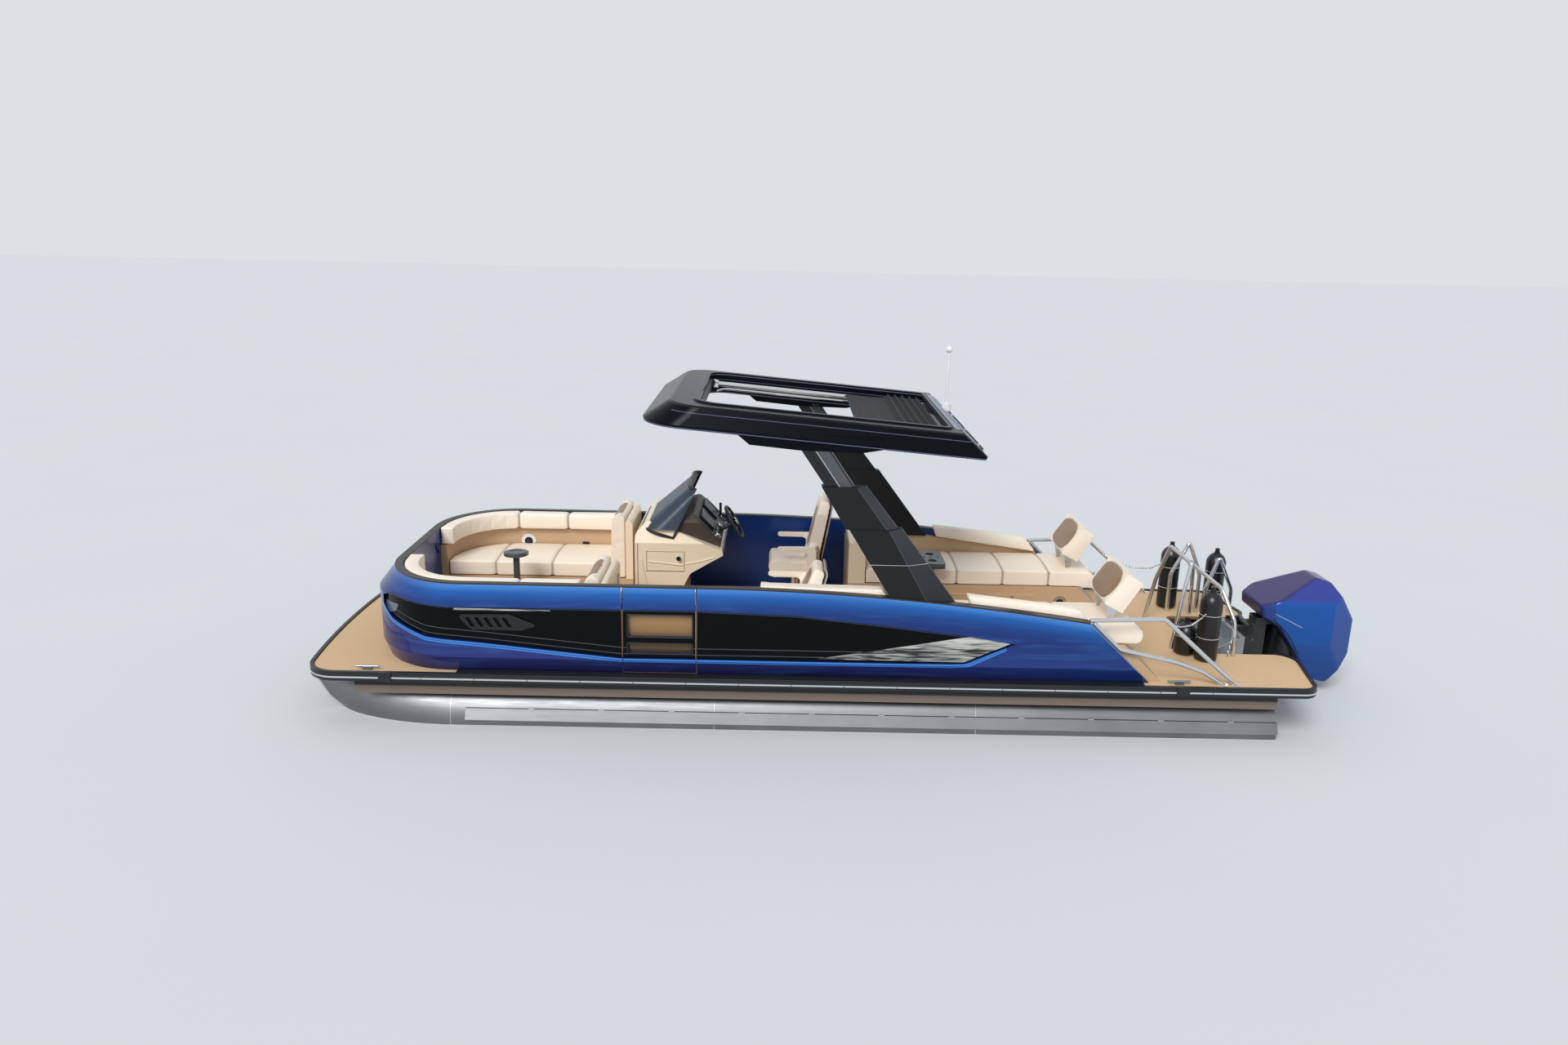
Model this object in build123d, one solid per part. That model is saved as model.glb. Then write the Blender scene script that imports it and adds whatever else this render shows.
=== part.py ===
from build123d import *
import math
import os

# Three-tube pontoon boat with a sliding hardtop and an outboard motor.
# Millimetres. +X is the bow, +Y is port, +Z is up.
# The origin is on the centre plane, amidships, at the waterline.

# Deck
deck_half_beam = 1295
deck_bow_x = 4250
deck_bow_bulge = 90
well_half_width = 500
deck_top = 500
covering_thickness = 3
covering_inset = 6
deck_board_thickness = 25
bow_corner_radius = 250
stern_corner_radius = 120
wing_tip_radius = 160
well_corner_radius = 70
rail_proud = 30
rail_height = 82
rail_lip = 12
rail_joint_gap = 1
rail_joint_bow_x = 3600

# Pontoons
tube_radius = 317.5
tube_centre_z = 20
tube_aft_x = -3930
nose_seam_x = 3110
nose_length = 1235
strake_height = 90
strake_reach = 30
strake_root = 70
strake_top_z = 150
strake_gap = 130
stem_bar_width = 16
stem_bar_depth = 14

# Under-deck frame
member_height = 72
member_flange = 50
member_wall = 6
member_pitch = 406
member_count = 19
member_start = 90
riser_half_width = 90
riser_wall = 8
riser_foot_z = 250
riser_forward_x = 3720
riser_setback = 60
fascia_height = 190
fascia_thickness = 4
fascia_forward_x = 3900

# Fence
fence_setback = 20
fence_wall_depth = 90
fence_top_inset = 30
fence_foot_inset = 60
fence_top_z = 1267
fence_lip_z = 1090
fence_bulge_z = 640
bow_lip_x = 3830
bow_top_x = 3690
bow_foot_x = 3790
bow_inner_x = 3620
corner_radius = 750
top_corner_trim = 30
foot_corner_trim = 40
fence_aft_top_z = 1033
fence_split_x = 3000
panel_gap = 6
band_depth = 37
band_thickness = 12
insert_thickness = 18
vent_thickness = 12
lamp_thickness = 10

# Gates
port_gate_aft_x = 1017
port_gate_forward_x = 1628
bow_gate_half_width = 330
gate_clearance = 15
knuckle_radius = 9
knuckle_height = 40
knuckle_play = 0.3
leaf_length = 42
pane_thickness = 6

# Seating
seat_base_top = 800
seat_cushion_thickness = 155
liner_top = 1105
liner_thickness = 60
bolster_thickness = 135
bolster_rise = 17
aisle_half_width = 430
bow_lounge_aft_x = 1760
bow_shell_thickness = 70
recess_depth = 10
bow_backrest_thickness = 160
soft_gap = 0.3
side_clear = 0.3
lounge_end_thickness = 165
lounge_end_top = 1205
port_lounge_forward_x = -1120
starboard_lounge_forward_x = -335
chaise_hinge_z = 1000
chaise_inner_y = 450
chaise_pin_radius = 8

# Helm
console_forward_x = 1700
console_inner_y = -110
lid_thickness = 20
lid_gap = 5
lid_pin_radius = 4
bin_depth = 230
screen_thickness = 8
wheel_x = 785
wheel_y = -600
wheel_z = 1350
wheel_rake = 30
wheel_radius = 170
wheel_rim_radius = 14
column_length = 250
column_radius = 20
running_gap = 0.05

# Chairs and tables
helm_chair_x = 180
helm_chair_y = -600
companion_chair_x = 260
companion_chair_y = 580
pedestal_radius = 45
pedestal_top = 830

# Arch
arch_lean = 34.5
leg_length = 195
leg_thickness = 80
sleeve_play = 0.5
sleeve_top_z = 2140
sleeve_seam_z = 1790
sleeve_bottom_z = 1112
upper_sleeve_inset = 12
leg_origin_x = -136
bore_length = 1000
leg_inside = 600
leg_above = 420

# Hardtop
roof_tilt = 4.8
roof_aft_x = -1315
roof_forward_x = 1490
roof_lip_z = 2490
roof_height = 185
roof_edge_height = 28
roof_opening_aft_x = -1010
roof_opening_forward_x = 1050
roof_rail_radius = 25
roof_rail_height = 95
shade_forward_x = -260
shade_fold_x = -640
shade_aft_x = -990
shade_thickness = 30
pleat_count = 4
pole_x = -1150
pole_y = -200
pole_height = 520

# Stern rails and racks
rail_tube_radius = 19
rack_apex_z = 1280
fender_radius = 95
fender_eye_radius = 22
fender_eye_height = 45

# Motor
transom_thickness = 45
transom_half_width = 330
transom_top_z = 600
tilt_z = 610
tilt_tube_radius = 20
steering_post_radius = 30
cowl_half_width = 310
bracket_half = 150
bracket_plate = 25
bracket_bottom_z = 200
ram_base_z = 235
ram_y = 97
ram_radius = 20
ram_rod_radius = 9
ram_pin_radius = 8
ram_play = 0.05
propeller_z = -520
propeller_shaft_radius = 18
propeller_pitch = 530
hub_radius = 60
hub_length = 130
blade_count = 4

# Levels and places that follow
deck_bottom = deck_top - covering_thickness - deck_board_thickness
rail_top = deck_top + rail_lip
rail_bottom = rail_top - rail_height
fence_lip_y = deck_half_beam - fence_setback
fence_top_y = fence_lip_y - fence_top_inset
fence_foot_y = fence_lip_y - fence_foot_inset
fence_inner_y = fence_lip_y - fence_wall_depth
inner_corner_radius = corner_radius - fence_wall_depth
far = 5000

# Places along the boat that go with the aft ends of the pontoons
well_forward_x = tube_aft_x + 430
deck_stern_x = well_forward_x - 670
wing_tip_x = well_forward_x - 820
centre_tube_aft_x = well_forward_x + 100
rail_joint_stern_x = well_forward_x - 100
lounge_kick_x = well_forward_x + 595
cushion_aft_x = lounge_kick_x + 155
chaise_hinge_x = lounge_kick_x + 405
fence_aft_foot_x = lounge_kick_x + 112
fence_aft_top_x = fence_aft_foot_x + 554
fence_end_slope = (fence_aft_foot_x - fence_aft_top_x) / (fence_aft_top_z - deck_top)
transom_x = well_forward_x - 450
ram_base_x = transom_x - 40
tilt_x = transom_x - 135
steer_x = tilt_x - 105
propeller_x = steer_x - 700

# Places across the boat that go with the deck's beam
outer_tube_y = deck_half_beam - 395
member_half_length = deck_half_beam - 80
chaise_outer_y = fence_inner_y - 135
console_outer_y = 10 - fence_inner_y
console_half_width = (console_inner_y - console_outer_y) / 2
arch_y = fence_inner_y - 20
sleeve_inner_y = arch_y - 70
sleeve_outer_y = arch_y + 78
roof_half_width = fence_lip_y - 55
roof_opening_half_width = roof_half_width - 270
stern_rail_y = fence_lip_y - 50


def block(x0, x1, y0, y1, z0, z1):
    """Box between two corners."""
    low_corner = (Align.MIN, Align.MIN, Align.MIN)
    return Pos(x0, y0, z0) * Box(x1 - x0, y1 - y0, z1 - z0, align=low_corner)


def side_prism(points, y0, y1, radii=0):
    """Outline in x and z, extruded from y0 to y1."""
    if isinstance(radii, (int, float)):
        radii = [radii] * len(points)
    outline = FilletPolyline([(x, 0, z) for x, z in points], radius=radii, close=True)
    face = Pos(0, y0, 0) * make_face(outline)
    return extrude(face, amount=y1 - y0, dir=(0, 1, 0))


def plan_prism(points, z0, z1, radii=0):
    """Outline in x and y, extruded from z0 to z1."""
    if isinstance(radii, (int, float)):
        radii = [radii] * len(points)
    outline = FilletPolyline([(x, y, 0) for x, y in points], radius=radii, close=True)
    return extrude(Pos(0, 0, z0) * make_face(outline), amount=z1 - z0, dir=(0, 0, 1))


def front_prism(points, x0, x1, radii=0):
    """Outline in y and z, extruded from x0 to x1."""
    if isinstance(radii, (int, float)):
        radii = [radii] * len(points)
    outline = FilletPolyline([(0, y, z) for y, z in points], radius=radii, close=True)
    return extrude(Pos(x0, 0, 0) * make_face(outline), amount=x1 - x0, dir=(1, 0, 0))


def pin(x, y, z, radius, length):
    """Round bar across the boat."""
    return Pos(x, y, z) * Rot(90, 0, 0) * Cylinder(radius, length)


def shaft(x, y, z, radius, length):
    """Round bar along the boat."""
    return Pos(x, y, z) * Rot(0, 90, 0) * Cylinder(radius, length)


def post(x, y, z0, z1, radius):
    """Upright round bar."""
    return Pos(x, y, (z0 + z1) / 2) * Cylinder(radius, z1 - z0)


def both_sides(shape):
    """The shape and its mirror image across the centre plane."""
    return [shape, mirror(shape, about=Plane.XZ)]


def tube_run(points, radius, bends):
    """Round tube along straight runs joined by arcs."""
    path = FilletPolyline(points, radius=bends)
    start = Plane(origin=path @ 0, z_dir=path % 0)
    return sweep(start * Circle(radius), path=path)


def fused(shapes):
    """One shape from many."""
    total = shapes[0]
    for shape in shapes[1:]:
        total = total + shape
    return total


nodes = {}


def keep(name, *shapes):
    """Stores the solids of one node."""
    solids = [solid for shape in shapes for solid in shape.solids()]
    nodes[name] = solids[0] if len(solids) == 1 else Compound(children=solids)


# Pontoons: round tubes with noses that narrow to an upright stem
def nose_section(x, half_width, low, high):
    """Pointed oval across the tube: two arcs that meet at the keel and at the top."""
    middle = (low + high) / 2
    near = ThreePointArc((x, 0, low), (x, half_width, middle), (x, 0, high))
    other = ThreePointArc((x, 0, high), (x, -half_width, middle), (x, 0, low))
    return make_face([near, other])


tube_low = tube_centre_z - tube_radius
tube_high = tube_centre_z + tube_radius
# share of the nose's length, half width, rise of the keel, rise of the top
nose_rows = [
    (0, tube_radius, 0, 0),
    (0.364, tube_radius * 0.844, 48, 24),
    (0.688, tube_radius * 0.472, 175, 50),
    (0.907, tube_radius * 0.151, 420, 66),
    (1, 9, 620, 70),
]


def pontoon(aft_x, with_strakes):
    """Tube, nose, stem bar and lifting strakes about y = 0."""
    tube = extrude(Plane.YZ * Circle(tube_radius), nose_seam_x - aft_x)
    body = Pos(aft_x, 0, tube_centre_z) * tube
    sections = []
    for share, half_width, keel_rise, top_rise in nose_rows:
        x = nose_seam_x + share * nose_length
        low = tube_low + keel_rise
        high = tube_high + top_rise
        sections.append(nose_section(x, half_width, low, high))
    body = body + loft(sections, ruled=False)
    stem = []
    for share, half_width, keel_rise, top_rise in nose_rows[1:]:
        stem.append((nose_seam_x + share * nose_length, tube_low + keel_rise))
    tip_x, tip_z = stem[-1]
    inner_edge = [(x - 25, z + 25) for x, z in reversed(stem)]
    outer_edge = [(x + stem_bar_depth, z - stem_bar_depth / 2) for x, z in stem]
    top_edge = [(tip_x + stem_bar_depth, tip_z + 50), (tip_x - 25, tip_z + 50)]
    stem_outline = outer_edge + top_edge + inner_edge
    body = body + side_prism(stem_outline, -stem_bar_width / 2, stem_bar_width / 2)
    if with_strakes:
        wedge = [
            (tube_radius - strake_root, strake_top_z),
            (tube_radius - 10, strake_top_z),
            (tube_radius + strake_reach, strake_top_z - strake_height),
            (tube_radius - strake_root, strake_top_z - strake_height),
        ]
        strake = front_prism(wedge, aft_x, nose_seam_x - strake_gap)
        body = body + strake + mirror(strake, about=Plane.XZ)
    return body


outer_tube = pontoon(tube_aft_x, True)
centre_tube = pontoon(centre_tube_aft_x, False)
keep("port_pontoon", Pos(0, outer_tube_y, 0) * outer_tube)
keep("starboard_pontoon", Pos(0, -outer_tube_y, 0) * outer_tube)
keep("centre_pontoon", centre_tube)

# Motor pod behind the centre tube, with the transom plate and its side cheeks
pod_top_z = 330
pod_low_z = -260
pod_aft_low_z = -120
cheek_thickness = 16
transom_front_x = transom_x + transom_thickness
pod_outline = [
    (centre_tube_aft_x, pod_top_z),
    (centre_tube_aft_x, pod_low_z),
    (transom_front_x, pod_aft_low_z),
    (transom_front_x, pod_top_z),
]
pod = side_prism(pod_outline, -transom_half_width, transom_half_width)
transom_outline = [
    (transom_x, pod_aft_low_z),
    (transom_front_x, pod_aft_low_z),
    (transom_front_x, transom_top_z),
    (transom_x, transom_top_z),
]
transom = side_prism(transom_outline, -transom_half_width, transom_half_width)
cheek_outline = [
    (centre_tube_aft_x, pod_top_z),
    (transom_front_x, pod_top_z),
    (transom_front_x, transom_top_z - 20),
    (transom_front_x + 40, transom_top_z - 20),
    (transom_front_x + 345, deck_bottom - 77),
    (centre_tube_aft_x, deck_bottom - 77),
]
cheek_y = transom_half_width - cheek_thickness / 2
cheek = side_prism(cheek_outline, cheek_y, cheek_y + cheek_thickness)
keep("motor_pod", fused([pod, transom] + both_sides(cheek)) - centre_tube)

# Saddle risers on the tubes
member_bottom = deck_bottom - member_height
risers = []
for y, aft_x, tube in (
    (outer_tube_y, tube_aft_x, outer_tube),
    (0, centre_tube_aft_x, centre_tube),
    (-outer_tube_y, tube_aft_x, outer_tube),
):
    low_y = y - riser_half_width
    high_y = y + riser_half_width
    start_x = aft_x + riser_setback
    outside = block(start_x, riser_forward_x, low_y, high_y, riser_foot_z, member_bottom)
    inside_top = member_bottom - riser_wall
    inside_x1 = riser_forward_x + 1
    inside = block(start_x - 1, inside_x1, low_y + riser_wall, high_y - riser_wall, 0, inside_top)
    risers.append(outside - inside - Pos(0, y, 0) * tube)
keep("tube_risers", *risers)

# Cross members: C sections at an even pitch, cut away at the motor well
members = []
well_space_y = well_half_width + 10
well_space = block(-far, well_forward_x - 5, -well_space_y, well_space_y, 0, deck_top)
for index in range(member_count):
    x = tube_aft_x + member_start + index * member_pitch
    end_x = x + member_flange
    member = block(x, end_x, -member_half_length, member_half_length, member_bottom, deck_bottom)
    hollow_z0 = member_bottom + member_wall
    hollow_z1 = deck_bottom - member_wall
    member = member - block(x + member_wall, end_x + 1, -far, far, hollow_z0, hollow_z1)
    members.append(member - well_space)
keep("cross_members", *members)

fascia_y0 = member_half_length
fascia_y1 = fascia_y0 + fascia_thickness
fascia_bottom = deck_bottom - fascia_height
fascia_aft_x = tube_aft_x + 30
fascia = block(fascia_aft_x, fascia_forward_x, fascia_y0, fascia_y1, fascia_bottom, deck_bottom)
keep("side_fascia", *both_sides(fascia))

# Deck: bowed front edge, two stern wings and a well for the motor
# x, y, corner radius
deck_corners = [
    (deck_bow_x + deck_bow_bulge, deck_half_beam, 0),
    (deck_stern_x, deck_half_beam, stern_corner_radius),
    (wing_tip_x, well_half_width, wing_tip_radius),
    (well_forward_x, well_half_width, well_corner_radius),
    (well_forward_x, -well_half_width, well_corner_radius),
    (wing_tip_x, -well_half_width, wing_tip_radius),
    (deck_stern_x, -deck_half_beam, stern_corner_radius),
    (deck_bow_x + deck_bow_bulge, -deck_half_beam, 0),
]
deck_radii = [radius for x, y, radius in deck_corners]
deck_points = [(x, y) for x, y, radius in deck_corners]
deck_wire = FilletPolyline(deck_points, radius=deck_radii, close=True)
bow_circle_radius = (deck_half_beam**2 + deck_bow_bulge**2) / (2 * deck_bow_bulge)
bow_circle = Pos(deck_bow_x + deck_bow_bulge - bow_circle_radius, 0) * Circle(bow_circle_radius)
deck_face = make_face(deck_wire) & bow_circle
bow_corners = [vertex for vertex in deck_face.vertices() if vertex.X > deck_bow_x - 50]
board_face = fillet(bow_corners, bow_corner_radius).faces()[0]
keep("deck_board", Pos(0, 0, deck_bottom) * extrude(board_face, deck_board_thickness))
covering_face = offset(board_face, -covering_inset, kind=Kind.INTERSECTION)
covering = extrude(covering_face, covering_thickness)
keep("deck_covering", Pos(0, 0, deck_top - covering_thickness) * covering)

# Rub rail round the deck's edge, in lengths, left off inside the motor well
rail_face = offset(board_face, rail_proud, kind=Kind.ARC) - board_face
rail_ring = Pos(0, 0, rail_bottom) * extrude(rail_face, rail_height)
for joint_x in (rail_joint_bow_x, rail_joint_stern_x):
    rail_ring = rail_ring - block(joint_x, joint_x + rail_joint_gap, -far, far, 0, far)
rail_end_x = wing_tip_x + wing_tip_radius
opening_x1 = well_forward_x + 2 * rail_proud
opening_y = well_half_width + 1
well_opening = block(rail_end_x, opening_x1, -opening_y, opening_y, 0, far)
keep("rub_rail", rail_ring - well_opening)


# Fence: ruled walls between level plan outlines, hollowed by one inner outline
def fence_outline(z, half_width, front_x, radius):
    """Plan outline of the fence at one level, open towards the stern."""
    points = [
        (-far, -half_width, z),
        (front_x, -half_width, z),
        (front_x, half_width, z),
        (-far, half_width, z),
    ]
    return make_face(FilletPolyline(points, radius=[0, radius, radius, 0], close=True))


def level_prism(half_width, front_x, radius, z0, z1):
    """Upright prism on a plan outline of the fence's kind."""
    return extrude(fence_outline(z0, half_width, front_x, radius), amount=z1 - z0, dir=(0, 0, 1))


# z, half width, front x, corner radius
fence_levels = [
    (deck_top, fence_foot_y, bow_foot_x, corner_radius - foot_corner_trim),
    (fence_bulge_z, fence_lip_y, bow_lip_x, corner_radius),
    (fence_lip_z, fence_lip_y, bow_lip_x, corner_radius),
    (fence_top_z, fence_top_y, bow_top_x, corner_radius - top_corner_trim),
]
fence_faces = [fence_outline(*row) for row in fence_levels]
fence_body = fused([loft(fence_faces[index : index + 2], ruled=True) for index in range(3)])


def inner_prism(inset, z0, z1):
    """Space inside the fence, drawn in by an inset."""
    radius = inner_corner_radius - inset
    return level_prism(fence_inner_y - inset, bow_inner_x - inset, radius, z0, z1)


above_fence = fence_top_z + 100
fence_wall = fence_body - inner_prism(0, deck_top - 10, above_fence)

# Side outline of the fence: the top falls away aft to a slanted end
top_fall_start = (700, 0, fence_top_z - 4)
top_fall_middle = (-644, 0, fence_top_z - 61)
fence_end_top = (fence_aft_top_x, 0, fence_aft_top_z)
fence_end_foot = (fence_aft_foot_x, 0, deck_top)
side_edges = [
    ThreePointArc(fence_end_top, top_fall_middle, top_fall_start),
    Line(top_fall_start, (far, 0, fence_top_z + 4)),
    Line((far, 0, fence_top_z + 4), (far, 0, deck_top)),
    Line((far, 0, deck_top), fence_end_foot),
    Line(fence_end_foot, fence_end_top),
]
side_space = extrude(Pos(0, -far, 0) * make_face(side_edges), amount=2 * far, dir=(0, 1, 0))
fence_wall = fence_wall & side_space

# Black band: a recess along each side, from a pointed tail to the bow corners
band_points = [
    (-1637, 844),
    (-1200, 912),
    (-540, 987),
    (190, 1057),
    (1020, 1084),
    (3070, 1080),
    (3590, 1120),
    (3700, 1075),
    (3700, 985),
    (3600, 905),
    (3270, 809),
    (2730, 764),
    (2180, 708),
    (1640, 655),
    (-740, 655),
    (-1210, 660),
]
band_outline = side_prism(band_points, 300, far)


def band_ring(inset):
    """Plan space inside the fence's skin, drawn in by an inset."""
    radius = corner_radius - inset
    return level_prism(fence_lip_y - inset, bow_lip_x - inset, radius, deck_top, above_fence)


def skin_layer(inset, thickness, outline):
    """Layer that follows the fence's skin, cut to a side outline, on both sides."""
    layer = (band_ring(inset) - band_ring(inset + thickness)) & outline
    return layer + mirror(layer, about=Plane.XZ)


around = block(-far, far, -far, far, deck_top, above_fence)
recess = (around - band_ring(band_depth)) & band_outline
fence_wall = fence_wall - recess - mirror(recess, about=Plane.XZ)
band_face_inset = band_depth - band_thickness
bands = skin_layer(band_face_inset, band_thickness, band_outline)

# Gates: the bow gate's free edge is an arc about its hinge, so that it clears the jamb
half_gap = panel_gap / 2
port_hinge_x = port_gate_forward_x
port_hinge_y = fence_inner_y - knuckle_radius - 1
bow_hinge_x = bow_inner_x - knuckle_radius - 1
bow_hinge_y = -bow_gate_half_width
gate_bottom_z = deck_top + gate_clearance
bow_gate_sweep = math.hypot(2 * bow_gate_half_width, bow_lip_x - bow_hinge_x)


def bow_gate_space(margin, z0):
    """Space of the bow gate, grown by a margin."""
    low_y = bow_hinge_y - margin + panel_gap / 2
    high_y = bow_hinge_y + bow_gate_sweep + margin
    gate_box = block(bow_inner_x - 100, far, low_y, high_y, z0, above_fence)
    return gate_box & post(bow_hinge_x, bow_hinge_y, z0, above_fence, bow_gate_sweep + margin)


gate_wall = block(0, far, fence_inner_y - 100, far, gate_bottom_z, above_fence)
port_gate_span = block(port_gate_aft_x + half_gap, port_gate_forward_x - half_gap, 0, far, 0, far)
port_gate_space = gate_wall & port_gate_span
hole_inner_y = fence_inner_y - 50
hole_x0 = port_gate_aft_x - half_gap
hole_x1 = port_gate_forward_x + half_gap
port_gate_hole = block(hole_x0, hole_x1, hole_inner_y, far, 0, far)
bow_gate_hole = bow_gate_space(panel_gap / 2, 0)
port_gate = fence_wall & port_gate_space
bow_gate = fence_wall & bow_gate_space(-panel_gap / 2, gate_bottom_z)
fixed_fence = fence_wall - port_gate_hole - bow_gate_hole


def knuckle(x, y, z, reach_x, reach_y):
    """Hinge barrel with its leaf; the leaf reaches from the barrel by the given distances."""
    barrel = post(x, y, z, z + knuckle_height, knuckle_radius)
    leaf_x0, leaf_x1 = sorted((x, x + reach_x))
    leaf_y0, leaf_y1 = sorted((y, y + reach_y))
    return barrel + block(leaf_x0, leaf_x1, leaf_y0, leaf_y1, z, z + knuckle_height)


hinge_levels = [fence_bulge_z - 20, fence_lip_z - 30]
leaf_depth = knuckle_radius + 1
port_forward = fixed_fence & block(port_gate_forward_x, fence_split_x, 0, far, 0, far)
starboard_bow = fixed_fence & block(fence_split_x, far, -far, 0, 0, far)
for level in hinge_levels:
    upper = level + knuckle_height + knuckle_play
    port_forward = port_forward + knuckle(port_hinge_x, port_hinge_y, level, leaf_length, leaf_depth)
    port_gate = port_gate + knuckle(port_hinge_x, port_hinge_y, upper, -leaf_length, leaf_depth)
    starboard_bow = starboard_bow + knuckle(bow_hinge_x, bow_hinge_y, level, leaf_depth, -leaf_length)
    bow_gate = bow_gate + knuckle(bow_hinge_x, bow_hinge_y, upper, leaf_depth, leaf_length)

# Windows of the port gate: openings through the panel and its band
# low x, high x, low z, high z
window_rows = [(1048, 1589, 839, 1036), (1048, 1589, 692, 786)]
gate_band = bands & port_gate_space
panes = []
pane_y = fence_inner_y + 20
for x0, x1, z0, z1 in window_rows:
    window = block(x0, x1, fence_inner_y - 100, far, z0, z1)
    port_gate = port_gate - window
    gate_band = gate_band - window
    panes.append(block(x0, x1, pane_y, pane_y + pane_thickness, z0, z1))
keep("port_gate_panel", port_gate)
keep("port_gate_band", gate_band)
keep("port_gate_panes", *panes)
keep("bow_gate", bow_gate)
keep("fence_port_aft", fixed_fence & block(-far, port_gate_aft_x, 0, far, 0, far))
keep("fence_port_forward", port_forward)
keep("fence_port_bow", fixed_fence & block(fence_split_x, far, 0, far, 0, far))
keep("fence_starboard", fixed_fence & block(-far, fence_split_x, -far, 0, 0, far))
keep("fence_starboard_bow", starboard_bow)

# Bow lamps: teardrop lenses let into the bands at the bow corners
lamp_points = [(3520, 1035), (3690, 1020), (3700, 950), (3640, 925), (3560, 965)]
lamp_outline = side_prism(lamp_points, 300, far, [10, 30, 20, 20, 30])
lamps = skin_layer(band_face_inset, lamp_thickness, lamp_outline & band_outline)
keep("bow_lamps", lamps)
keep("side_bands", bands - port_gate_hole - bow_gate_hole - lamps)

# Bright faceted insert at the tail of each band, and a bright strip above each vent
insert_y = fence_lip_y - band_face_inset
insert_points = [(30, 676), (-1250, 900), (-1590, 845), (-1210, 672)]
insert = side_prism(insert_points, insert_y, insert_y + insert_thickness)
ridge = [
    (insert_y, 500),
    (insert_y, 1200),
    (insert_y + 4, 1000),
    (insert_y + insert_thickness, 790),
    (insert_y + 4, 600),
]
insert = insert & front_prism(ridge, -far, far)
strip_points = [(2220, 1052), (3020, 1048), (3010, 1066), (2220, 1062)]
strip = side_prism(strip_points, insert_y, insert_y + 8)
keep("side_inserts", *both_sides(insert), *both_sides(strip))

# Vents: a teardrop surround with slanted louvres, standing on each band
vent_points = [(3000, 1012), (2560, 1020), (2330, 925), (2460, 880), (2880, 880)]
vent = side_prism(vent_points, insert_y, insert_y + vent_thickness, [25, 60, 12, 60, 60])
louvre_count = 5
louvre_pitch = 76
for index in range(louvre_count):
    x = 2540 + index * louvre_pitch
    slot = side_prism([(x, 908), (x + 34, 908), (x + 84, 990), (x + 50, 990)], 0, far, 6)
    vent = vent - slot
keep("side_vents", *both_sides(vent))

# Bow lounges: base and liner follow the fence; the shell behind each backrest has a recessed locker door
cushion_bottom = seat_base_top + soft_gap
cushion_top = seat_base_top + seat_cushion_thickness
bolster_bottom = liner_top + soft_gap
bolster_top = fence_top_z + bolster_rise
shell_front_x = bow_lounge_aft_x + bow_shell_thickness
backrest_aft_x = shell_front_x + soft_gap
backrest_front_x = backrest_aft_x + bow_backrest_thickness
lounge_zone = block(bow_lounge_aft_x, far, aisle_half_width, far, deck_top, 2 * far)
liner_inset = side_clear + liner_thickness
base = inner_prism(side_clear, deck_top, seat_base_top)
liner = inner_prism(side_clear, seat_base_top, liner_top) - inner_prism(liner_inset, 0, far)
keep("bow_lounge_bases", *both_sides((base + liner) & lounge_zone))
cushion_zone = block(backrest_front_x + soft_gap, far, aisle_half_width, far, deck_top, 2 * far)
cushion = inner_prism(liner_inset + soft_gap, cushion_bottom, cushion_top)
keep("bow_seat_cushions", *both_sides(cushion & cushion_zone))
bolster = inner_prism(side_clear, bolster_bottom, bolster_top)
bolster = bolster - inner_prism(side_clear + bolster_thickness, 0, far)
keep("bow_bolsters", *both_sides(bolster & cushion_zone))

backrest_outer_y = fence_inner_y - side_clear - liner_thickness - 1
lounge_ends = []
backrests = []
# side, top of the backrest
for side, top_z in ((1, 1330), (-1, 1455)):
    y0, y1 = sorted((side * aisle_half_width, side * backrest_outer_y))
    shell_points = [
        (bow_lounge_aft_x, seat_base_top),
        (shell_front_x, seat_base_top),
        (shell_front_x, top_z - 70),
        (bow_lounge_aft_x, top_z - 70),
    ]
    shell = side_prism(shell_points, y0, y1, [0, 0, 20, 50])
    if side > 0:
        recess_x1 = bow_lounge_aft_x + recess_depth
        recess_z0 = seat_base_top + 60
        recess_space = block(bow_lounge_aft_x - 1, recess_x1, y0 + 90, y1 - 90, recess_z0, top_z - 160)
        shell = shell - fillet(recess_space.edges().filter_by(Axis.X), 35)
    lounge_ends.append(shell)
    backrest_points = [
        (backrest_aft_x, cushion_bottom),
        (backrest_front_x, cushion_bottom),
        (backrest_front_x - 20, top_z - 60),
        (backrest_aft_x + 70, top_z),
        (backrest_aft_x, top_z - 40),
    ]
    backrests.append(side_prism(backrest_points, y0, y1, [20, 30, 60, 50, 30]))
keep("bow_backrests", *backrests)

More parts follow.
